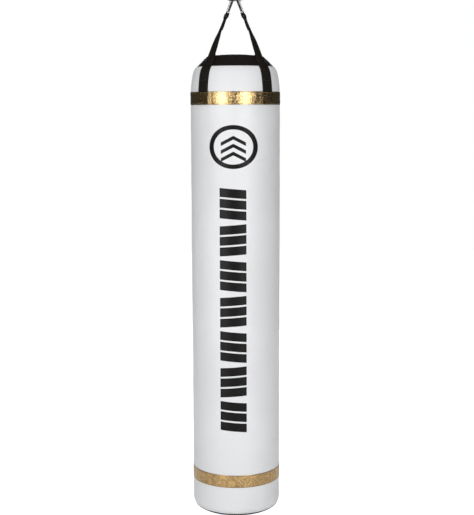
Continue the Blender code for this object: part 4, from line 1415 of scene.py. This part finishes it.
def rings():
    half, corner = high("hang_ring").x - sizes().ring_wire, 9 * MM
    path = [Vector((x, 0, RING_BAR_Z + z)) for x, z in d_path(half, corner)]
    weld = Vector((0.6 * half, 0, RING_BAR_Z))
    shape = welded_ring(path, Vector((0, 1, 0)), sizes().ring_wire * 0.995, weld)
    piece("hang_ring_bar", *shape, "hang_ring", "ring_zinc", zinc(), ("hang_ring",))
    wire = (high("anchor_ring").x - low("anchor_ring").x) / 2
    half = high("anchor_ring").y - wire
    path = [Vector((0, x, ANCHOR_BAR_Z - z)) for x, z in d_path(half, 7 * MM)]
    shape = welded_ring(path, Vector((1, 0, 0)), wire, Vector((0, 0.5 * half, ANCHOR_BAR_Z)))
    piece("anchor_ring_bar", *shape, "anchor_ring", "ring_zinc", zinc(), ("anchor_ring",))


def eye(radius, wire_radius, z, turn_deg):
    path = [Vector((x, 0, z + y)) for x, y in arc((0, 0), radius, 0, 352.5, 47)]
    mesh = mesh_of(swept(path, Vector((0, 1, 0)), round_section(wire_radius, 24), closed=True))
    mesh.transform(Matrix.Rotation(math.radians(turn_deg), 4, "Z"))
    return mesh


def turned_mesh(profile):
    rings = turned(profile)
    verts = [p for ring in rings for p in ring]
    return cleaned(mesh_of((verts, grid_faces(len(rings), len(rings[0])))))


def steel_piece(name, mesh, body, node, sharp_deg):
    finished(name, mesh, body, "swivel_steel", swivel_steel(), (node,), sharp_deg=sharp_deg)


def swivel_cage():
    """The swivel's casting: the upper eye on a window frame with a bored floor."""
    bottom_z, wire = low("swivel_cage").z, 4.5 * MM
    eye_z = -(EYE_RADIUS - wire)
    top_z = eye_z - EYE_RADIUS
    body = block((30 * MM, 16 * MM, top_z - bottom_z), (0, 0, (top_z + bottom_z) / 2))
    window = block((18.4 * MM, 40 * MM, 22 * MM), (0, 0, bottom_z + CAGE_FLOOR + 11 * MM))
    bore = rod(6.5 * MM, (0, 0, bottom_z - 10 * MM), (0, 0, bottom_z + CAGE_FLOOR + 1 * MM), 48)
    body, window = bevelled(body, 3.2 * MM, 5), bevelled(window, 3.0 * MM, 4)
    steps = ("UNION", eye(EYE_RADIUS, wire, eye_z, 0)), ("DIFFERENCE", window), ("DIFFERENCE", bore)
    cage = softened(boolean(body, *steps), 0.55 * MM, 4)
    steel_piece("swivel_cage_casting", cage, "swivel_top", "swivel_cage", 60)


def swivel_stem():
    """The threaded stem with its flange and the lower eye."""
    top_z, bottom_z = high("swivel_stem").z, low("swivel_stem").z
    eye_radius, wire, flange = 11 * MM, 4 * MM, 3 * MM
    flange_top = low("swivel_cage").z - 0.3 * MM
    thread_low = high("swivel_nut").z - 9 * MM
    crest, root, pitch = 5.9 * MM, 5.35 * MM, 1.0 * MM
    profile = [(0.0, top_z), (4.9 * MM, top_z)]
    z = top_z - 0.5 * MM
    while z - pitch > thread_low:
        profile += [(crest, z), (crest, z - 0.2 * pitch), (root, z - 0.55 * pitch), (root, z - 0.65 * pitch)]
        z -= pitch
    profile += [(crest, z), (crest, flange_top), (8.6 * MM, flange_top), (9.0 * MM, flange_top - 0.4 * MM)]
    profile += [(9.0 * MM, flange_top - flange + 0.5 * MM), (8.4 * MM, flange_top - flange)]
    profile.append((0.0, flange_top - flange))
    lower_eye = eye(eye_radius, wire, bottom_z + eye_radius + wire, 90)
    stem = boolean(turned_mesh(profile), ("UNION", lower_eye))
    steel_piece("swivel_stem_bar", stem, "swivel_bottom", "swivel_stem", 40)


def swivel_nut():
    """The hexagon nut, its corners turned down at both ends."""
    nut_low, nut_high = low("swivel_nut"), high("swivel_nut")
    height = nut_high.z - nut_low.z
    corner = (nut_high.x - nut_low.x) / 2
    sides = round_section(corner, 6)
    hexagon = mesh_of(closed_loft([[Vector((x, y, z)) for x, y in sides] for z in (nut_low.z, nut_high.z)]))
    half = [(0.0, 0.0), (corner * 0.93, 0.0), (corner * 1.08, height * 0.2)]
    profile = [(r, nut_low.z + z) for r, z in half] + [(r, nut_high.z - z) for r, z in reversed(half)]
    hole = rod(6.3 * MM, (0, 0, nut_low.z - height / 2), (0, 0, nut_high.z + height / 2), 48)
    nut = boolean(boolean(hexagon, ("INTERSECT", turned_mesh(profile))), ("DIFFERENCE", hole))
    steel_piece("swivel_nut_hex", bevelled(nut, 0.25 * MM, 2, 25), "swivel_bottom", "swivel_nut", 30)


def swivel_washer():
    bottom_z, top_z, outer = low("swivel_washer").z, high("swivel_washer").z, high("swivel_washer").x
    hole, bevel = 6.3 * MM, 0.4 * MM
    half = [(hole, bevel / 2), (hole + bevel / 2, 0.0), (outer - bevel, 0.0), (outer, bevel)]
    profile = [(r, bottom_z + z) for r, z in half] + [(r, top_z - z) for r, z in reversed(half)]
    shape = closed_rings(turned(profile))
    piece("swivel_washer_ring", *shape, "swivel_bottom", "swivel_steel", swivel_steel(), ("swivel_washer",))


# ---------------------------------------------------------------- floor anchor


def anchor_patch(half_x, half_y, top, ply):
    """The patch sewn under the bag: its points in rings of 12 a side, with rounded edges."""
    corners = [(1, -1), (1, 1), (-1, 1), (-1, -1)]
    rows = []
    for drop, inset in ((0.0, 0.3 * MM), (0.3, 0.0), (0.7, 0.0), (1.0, 0.3 * MM)):
        ring = []
        for start, end in zip(corners, corners[1:] + corners[:1]):
            for i in range(12):
                x, y = (a + (b - a) * i / 12 for a, b in zip(start, end))
                ring.append(Vector((x * (half_x - inset), y * (half_y - inset), top - ply * drop)))
        rows.append(ring)
    return closed_loft(rows)


def anchor_loop(top, ply):
    """The tab that runs down, round the D-ring's bar and back: its shape and its weave."""
    ring_low, ring_high = low("anchor_ring"), high("anchor_ring")
    half = (ring_high.y - ring_low.y) / 2 - 10.4 * MM
    turn = (ring_high.x - ring_low.x) / 2 + 0.3 * MM + ply / 2
    start_z = top - ply * 0.8
    down = []
    for i in range(9):
        share = i / 8
        x = ply / 2 + (turn - ply / 2) * fade(share, 1.0)
        down.append(Vector((x, 0, start_z + (ANCHOR_BAR_Z - start_z) * share)))
    bends = [math.pi * k / 16 for k in range(1, 16)]
    path = down + [Vector((turn * math.cos(a), 0, ANCHOR_BAR_Z - turn * math.sin(a))) for a in bends]
    path += [Vector((-p.x, 0, p.z)) for p in reversed(down)]
    section = []
    for side in (-1, 1):
        for i in range(9):
            thin = 0.7 if i in (0, 8) else 1.0
            section.append((side * ply / 2 * thin, -side * half * (1 - 2 * i / 8)))
    weave = [(b, i * 1.6 * MM, 0.0) for i in range(len(path)) for _, b in section]
    return swept(path, Vector((0, 1, 0)), section, closed=False), weave


def anchor():
    """The webbing patch under the bag, sewn with a crossed box each side of its folded tab."""
    patch_high, ply = high("anchor_tab"), sizes().webbing
    half_x, half_y, top = patch_high
    patch = anchor_patch(half_x, half_y, top, ply)
    loop, loop_weave = anchor_loop(top, ply)
    weave = [(v.y, v.x, 0.0) for v in patch[0]] + loop_weave
    woven_piece("anchor_webbing", *joined([patch, loop]), weave, "anchor_tab")
    down = Vector((0, 0, -1))
    lines = []
    for side in (-1, 1):
        x0, x1, y1 = side * 12 * MM, side * (half_x - 4 * MM), half_y - 4 * MM
        corners = [Vector((x, y, top - ply)) for x, y in ((x0, -y1), (x1, -y1), (x1, y1), (x0, y1))]
        ends = [*zip(corners, corners[1:] + corners[:1]), (corners[0], corners[2]), (corners[1], corners[3])]
        lines += [line_stitches(a, b, down) for a, b in ends]
    piece("anchor_stitching", *joined(lines), "bag", "thread", thread_black())


# ---------------------------------------------------------------- filling inside


def lumpy(name, node, radii, slot, material, lump, steps=22, columns=64, seed=0.0):
    """A stuffed drum between two radii and its CAD node's heights, pushed in by lumps."""
    inner, outer = radii
    bottom_z, top_z = low(node).z, high(node).z
    edge = min(14 * MM, (top_z - bottom_z) * 0.25)
    turns = [math.pi / 2 * i / 4 for i in range(5)]
    profile = [(-edge * (1 - math.sin(a)), edge * (1 - math.cos(a))) for a in turns]
    rows = [(r, bottom_z + z) for r, z in profile]
    rows += [(0.0, bottom_z + edge + (top_z - bottom_z - 2 * edge) * i / steps) for i in range(1, steps)]
    rows += [(r, top_z - z) for r, z in reversed(profile)]
    verts = []
    for r, z in rows:
        for x, y in round_section(1.0, columns):
            inset = lump * (0.5 + 0.5 * noise.noise(Vector((x * 2.4 + seed, y * 2.4, z * 22))))
            radius = outer + r - inset
            verts.append((radius * x, radius * y, z))
    faces = grid_faces(len(rows), columns)
    last = (len(rows) - 1) * columns
    ends = (0, rows[0][1]), (last, rows[-1][1])
    if inner:
        hole = len(verts)
        verts += [(x, y, z) for _, z in reversed(ends) for x, y in round_section(inner, columns)]
        for a, b in ((last, hole), (hole, hole + columns), (hole + columns, 0)):
            faces += bridge_faces(a, b, columns)
    else:
        for start, z in ends:
            middle = len(verts)
            verts.append((0, 0, z))
            faces += [(start + j, start + (j + 1) % columns, middle) for j in range(columns)]
    soft_piece(name, (verts, faces), slot, material, node)


FOAM = 20 * MM


def shredded_cloth():
    return cloth_material("shredded_cloth", (0.22, 0.21, 0.23), 6 * MM, 0.95)


def sack_cloth():
    return cloth_material("sack_cloth", (0.36, 0.30, 0.20), 1.1 * MM, 0.9)


def foam_liner():
    """The foam sheet between cover and filling: soft shallow swells on both faces."""
    radius = high("foam_liner").x
    heights = heights_between(high("foam_liner").z, low("foam_liner").z, 12 * MM)
    columns = 120
    verts = []
    for base, way in ((radius - 1.4 * MM, -1), (radius - FOAM, 1)):
        for z in heights:
            for x, y in round_section(1.0, columns):
                swell_in = 0.15 * MM * (1 + noise.noise(Vector((x * 5, y * 5, z * 20))))
                verts.append((x * (base + way * swell_in), y * (base + way * swell_in), z))
    shape = verts, shell_faces(len(heights), columns)
    sheet = cloth_material("foam_sheet", (0.70, 0.66, 0.54), 1.4 * MM, 0.9)
    soft_piece("foam_wrap", shape, "foam", sheet, "foam_liner")


def filling():
    foam_liner()
    sand = high("sand_bag_1").x
    shreds = (sand + 0.3 * MM, high("foam_liner").x - FOAM - 0.3 * MM)
    cloth, slot, plug = shredded_cloth(), "textile_fill", (0, high("fill_plug").x)
    lumpy("cloth_filling", "textile_fill", shreds, slot, cloth, 1.6 * MM, steps=90, columns=96)
    lumpy("cloth_plug", "fill_plug", plug, slot, cloth, 1.2 * MM, steps=8)
    for i in range(1, 5):
        name, node = f"sand_sack_{i}", f"sand_bag_{i}"
        lumpy(name, node, (0, sand), "sand_sack", sack_cloth(), 2.0 * MM, seed=3.0 * i)


# ---------------------------------------------------------------- print

INK = 0.16 * MM
EMBLEM_X = -8 * MM
EMBLEM_DROP = 356 * MM
RING_INNER = 0.80
COLUMN_X = -10.5 * MM
COLUMN_HALF = 53 * MM
COLUMN_DROP = 514 * MM
COLUMN_LENGTH = 990 * MM


def cut_outline(outline):
    """A flat polygon cut into a small grid: its points, its faces and the edges of its rim."""
    bm = bmesh.new()
    bm.faces.new([bm.verts.new((x, 0, z)) for x, z in outline])
    for axis, step in ((0, 5 * MM), (1, 6 * MM)):
        values = [point[axis] for point in outline]
        normal = (0, 0, 1) if axis else (1, 0, 0)
        for k in range(math.floor(min(values) / step), math.ceil(max(values) / step)):
            geometry = [*bm.verts, *bm.edges, *bm.faces]
            place = Vector(normal) * (k * step)
            bmesh.ops.bisect_plane(bm, geom=geometry, dist=1e-7, plane_co=place, plane_no=normal)
    bmesh.ops.remove_doubles(bm, verts=bm.verts, dist=1e-6)
    bm.verts.index_update()
    bm.verts.ensure_lookup_table()
    points = [(v.co.x, v.co.z) for v in bm.verts]
    faces = [tuple(v.index for v in face.verts) for face in bm.faces]
    rim = [tuple(v.index for v in edge.verts) for edge in bm.edges if len(edge.link_faces) == 1]
    bm.free()
    return points, faces, rim


def printed(name, shapes):
    """Flat polygons in (sideways, height) laid on the front of the cover as a thin film of ink."""
    films = []
    for outline in shapes:
        points, flat, rim = cut_outline(outline)
        count = len(points)
        verts = []
        for lift in (INK, -INK):
            for x, z in points:
                angle = -math.pi / 2 + x / BAG_RADIUS
                r = cover_radius(angle, z) + lift
                verts.append((math.cos(angle) * r, math.sin(angle) * r, z))
        faces = flat + [tuple(count + i for i in reversed(face)) for face in flat]
        faces += [(a, b, count + b, count + a) for a, b in rim]
        films.append((verts, faces))
    piece(name, *joined(films), "bag", "print_black", ink_material())


def emblem():
    """A ring round three plain chevrons."""
    wide, tall = sizes().emblem_width / 2, sizes().emblem_height / 2
    outer = [(wide * x, tall * y) for x, y in round_section(1.0, 72)]
    shapes = []
    for a, b in zip(outer, outer[1:] + outer[:1]):
        shapes.append([a, b, *[(x * RING_INNER, z * RING_INNER) for x, z in (b, a)]])
    arm, thick, drop = 0.50 * wide, 0.17 * tall, 0.30 * tall
    for k in range(3):
        base = (0.34 - 0.36 * k) * tall
        shapes.append([(0, base + thick), (0, base), (-arm, base - drop), (-arm, base - drop + thick)])
        shapes.append([(0, base), (0, base + thick), (arm, base - drop + thick), (arm, base - drop)])
    middle_z = COLLAR_Z - EMBLEM_DROP
    printed("emblem_print", [[(EMBLEM_X + x, middle_z + z) for x, z in shape] for shape in shapes])


def printed_column():
    """A column of plain blocks, each of three slanted bars."""
    bars = 3
    pitch = COLUMN_LENGTH / sizes().bar_count
    bar = pitch * 0.90 / (bars + 0.2 * (bars - 1) + 0.25)
    shapes = []
    for k in range(sizes().bar_count):
        slant = bar * 0.25 * (1 if k % 2 else -1)
        left, right = max(0.0, slant), max(0.0, -slant)
        for j in range(bars):
            z = COLLAR_Z - COLUMN_DROP - pitch * k - bar * 1.2 * j
            outline = [(-1, z - left), (-1, z - bar - left), (1, z - bar - right), (1, z - right)]
            shapes.append([(COLUMN_X + side * COLUMN_HALF, height) for side, height in outline])
    printed("column_print", shapes)


# ---------------------------------------------------------------- stage

CAMERA_DISTANCE = 4.5
CAMERA_BELOW_COLLAR = 0.2203
CAMERA_X = 0.005
CAMERA_PITCH_DEG = 7.45
CAMERA_ROLL_DEG = -0.17
LENS_MM = 78.0
LIT_POINT = (0, 0, -1.1)
FLOOR_REACH = 9.0
FLOOR_GAP = 30 * MM


def area_light(name, place, size, power, mirrored=True, lit=True):
    """A soft lamp aimed at the bag; mirrored: shiny surfaces show it, lit: it lights matt ones."""
    data = bpy.data.lights.new(name, "AREA")
    data.shape, data.size, data.size_y, data.energy = "RECTANGLE", size[0], size[1], power
    light = bpy.data.objects.new(name, data)
    light.location = place
    light.rotation_euler = (Vector(LIT_POINT) - Vector(place)).to_track_quat("-Z", "Y").to_euler()
    light.visible_glossy, light.visible_diffuse = mirrored, lit
    bpy.context.scene.collection.objects.link(light)


def on_circle(angle_deg, distance, z):
    """A place round the bag: 0 is straight in front of it, 90 to its right."""
    angle = math.radians(angle_deg - 90)
    return (math.cos(angle) * distance, math.sin(angle) * distance, z)


def stage_material():
    material = bpy.data.materials.new("pale_floor")
    material.use_nodes = True
    shader = material.node_tree.nodes["Principled BSDF"]
    shader.inputs["Base Color"].default_value = colours().floor
    shader.inputs["Roughness"].default_value = 0.9
    shader.inputs["Specular IOR Level"].default_value = 0.1
    shader.inputs["Emission Color"].default_value = (1, 1, 1, 1)
    tree = material.node_tree
    seen = add(tree, "LightPath").outputs["Is Camera Ray"]
    tree.links.new(math_node(tree, "MULTIPLY", seen, 0.85), shader.inputs["Emission Strength"])
    below = add(tree, "NewGeometry").outputs["Backfacing"]
    tree.links.new(math_node(tree, "SUBTRACT", 1.0, below), shader.inputs["Alpha"])
    return material


def floor():
    mesh = bpy.data.meshes.new("floor")
    z, reach = low("anchor_ring").z - FLOOR_GAP, FLOOR_REACH
    corners = [(-reach, -reach, z), (reach, -reach, z), (reach, reach, z), (-reach, reach, z)]
    mesh.from_pydata(corners, [], [(0, 1, 2, 3)])
    mesh.materials.append(stage_material())
    plane = bpy.data.objects.new("floor", mesh)
    bpy.context.scene.collection.objects.link(plane)


def lamps():
    area_light("left_window", on_circle(-34, 3.6, -0.75), (1.7, 3.4), 52)
    area_light("right_window", on_circle(27, 3.6, -0.75), (1.7, 3.4), 48)
    area_light("left_strip", on_circle(-31, 3.5, -0.75), (0.8, 3.2), 22, lit=False)
    area_light("right_strip", on_circle(24, 3.5, -0.75), (0.8, 3.2), 22, lit=False)
    area_light("top_soft", (0, -0.8, 2.6), (2.6, 2.6), 36, mirrored=False)
    area_light("back_left", on_circle(-150, 4.0, -0.6), (1.0, 3.0), 18, mirrored=False)
    area_light("back_right", on_circle(150, 4.0, -0.6), (1.0, 3.0), 18, mirrored=False)
    area_light("back_middle", on_circle(180, 4.0, -0.75), (1.7, 3.4), 46)


def studio_world():
    """White for the camera, pale for matt surfaces, nearly dark in shiny ones."""
    world = bpy.data.worlds.new("studio")
    world.use_nodes = True
    tree = world.node_tree
    background = tree.nodes["Background"]
    path = add(tree, "LightPath")
    levels = {"Value": path.outputs["Is Glossy Ray"], "To Min": 0.34, "To Max": 0.05}
    shine = add(tree, "MapRange", inputs=levels).outputs["Result"]
    strength = math_node(tree, "MAXIMUM", path.outputs["Is Camera Ray"], shine)
    background.inputs["Color"].default_value = (1, 1, 1, 1)
    tree.links.new(strength, background.inputs["Strength"])
    bpy.context.scene.world = world


def camera():
    data = bpy.data.cameras.new("camera")
    data.lens, data.sensor_width, data.clip_end = LENS_MM, 36, 100
    view = bpy.data.objects.new("camera", data)
    view.location = (CAMERA_X, -CAMERA_DISTANCE, COLLAR_Z - CAMERA_BELOW_COLLAR)
    tilt = Matrix.Rotation(math.radians(90 - CAMERA_PITCH_DEG), 3, "X")
    roll = Matrix.Rotation(math.radians(CAMERA_ROLL_DEG), 3, "Z")
    view.rotation_euler = (tilt @ roll).to_euler()
    bpy.context.scene.collection.objects.link(view)
    bpy.context.scene.camera = view
    bpy.context.scene.view_settings.view_transform = "Standard"


# ---------------------------------------------------------------- operators and panel


def operator(idname, label, doc, *makers):
    """An operator class that runs these makers in order."""

    def execute(self, context):
        for make in makers:
            make()
        return {"FINISHED"}

    name = "HEAVY_BAG_OT_" + idname
    members = {
        "bl_idname": "heavy_bag." + idname, "bl_label": label, "bl_options": {"REGISTER", "UNDO"},
        "__doc__": doc, "execute": execute,
    }
    return type(name, (bpy.types.Operator,), members)


def straps():
    for tag, sides in CORNERS.items():
        strap(tag, sides)


COVER_DOC = "Build the white cover panels, the black bottom and its corded bead"
ZIP_DOC = "Build the lid, the zip's tape and teeth, its slider and its pull"
SWIVEL_DOC = "Build the swivel's casting, stem, nut and washer"

OPERATORS = (
    operator("cover", "Cover", COVER_DOC, white_panels, bottom, piping),
    operator("bands", "Gold bands", "Build the crinkled upper band and the satin lower band", gold_bands),
    operator("collar", "Collar", "Build the gathered collar", collar),
    operator("zip_top", "Zip top", ZIP_DOC, lid, zip_cloth, zip_teeth, zip_slider, zip_pull),
    operator("straps", "Straps", "Build the four webbing straps and their stitching", straps),
    operator("hooks", "Snap hooks", "Build the four snap hooks with their gates and rivets", hooks),
    operator("rings", "D-rings", "Build the hanging D-ring and the floor anchor ring", rings),
    operator("swivel", "Swivel", SWIVEL_DOC, swivel_cage, swivel_stem, swivel_nut, swivel_washer),
    operator("anchor", "Floor anchor", "Build the webbing patch and tab under the bag", anchor),
    operator("filling", "Filling", "Build the foam, the shredded cloth and the sand sacks", filling),
    operator("print", "Front print", "Build the emblem and the printed column", emblem, printed_column),
    operator("stage", "Stage", "Build the floor, lights and camera", floor, lamps, studio_world, camera),
)


class HEAVY_BAG_PT_panel(bpy.types.Panel):
    """The bag's settings and its steps, in the order they run."""

    bl_label = "Heavy Bag"
    bl_idname = "HEAVY_BAG_PT_panel"
    bl_space_type = "VIEW_3D"
    bl_region_type = "UI"
    bl_category = "Heavy Bag"

    def draw(self, context):
        layout = self.layout
        for group in (context.scene.bag_sizes, context.scene.bag_colours):
            box = layout.box()
            for name in group.__annotations__:
                box.prop(group, name)
        for made in OPERATORS:
            layout.operator(made.bl_idname)


CLASSES = (BagSizes, BagColours, *OPERATORS, HEAVY_BAG_PT_panel)


def register():
    for made in CLASSES:
        bpy.utils.register_class(made)
    bpy.types.Scene.bag_sizes = PointerProperty(type=BagSizes)
    bpy.types.Scene.bag_colours = PointerProperty(type=BagColours)


def unregister():
    del bpy.types.Scene.bag_sizes
    del bpy.types.Scene.bag_colours
    for made in reversed(CLASSES):
        bpy.utils.unregister_class(made)


def main():
    register()
    for made in OPERATORS:
        step = made.bl_idname.split(".")[1]
        getattr(bpy.ops.heavy_bag, step)()


if __name__ == "__main__":
    main()
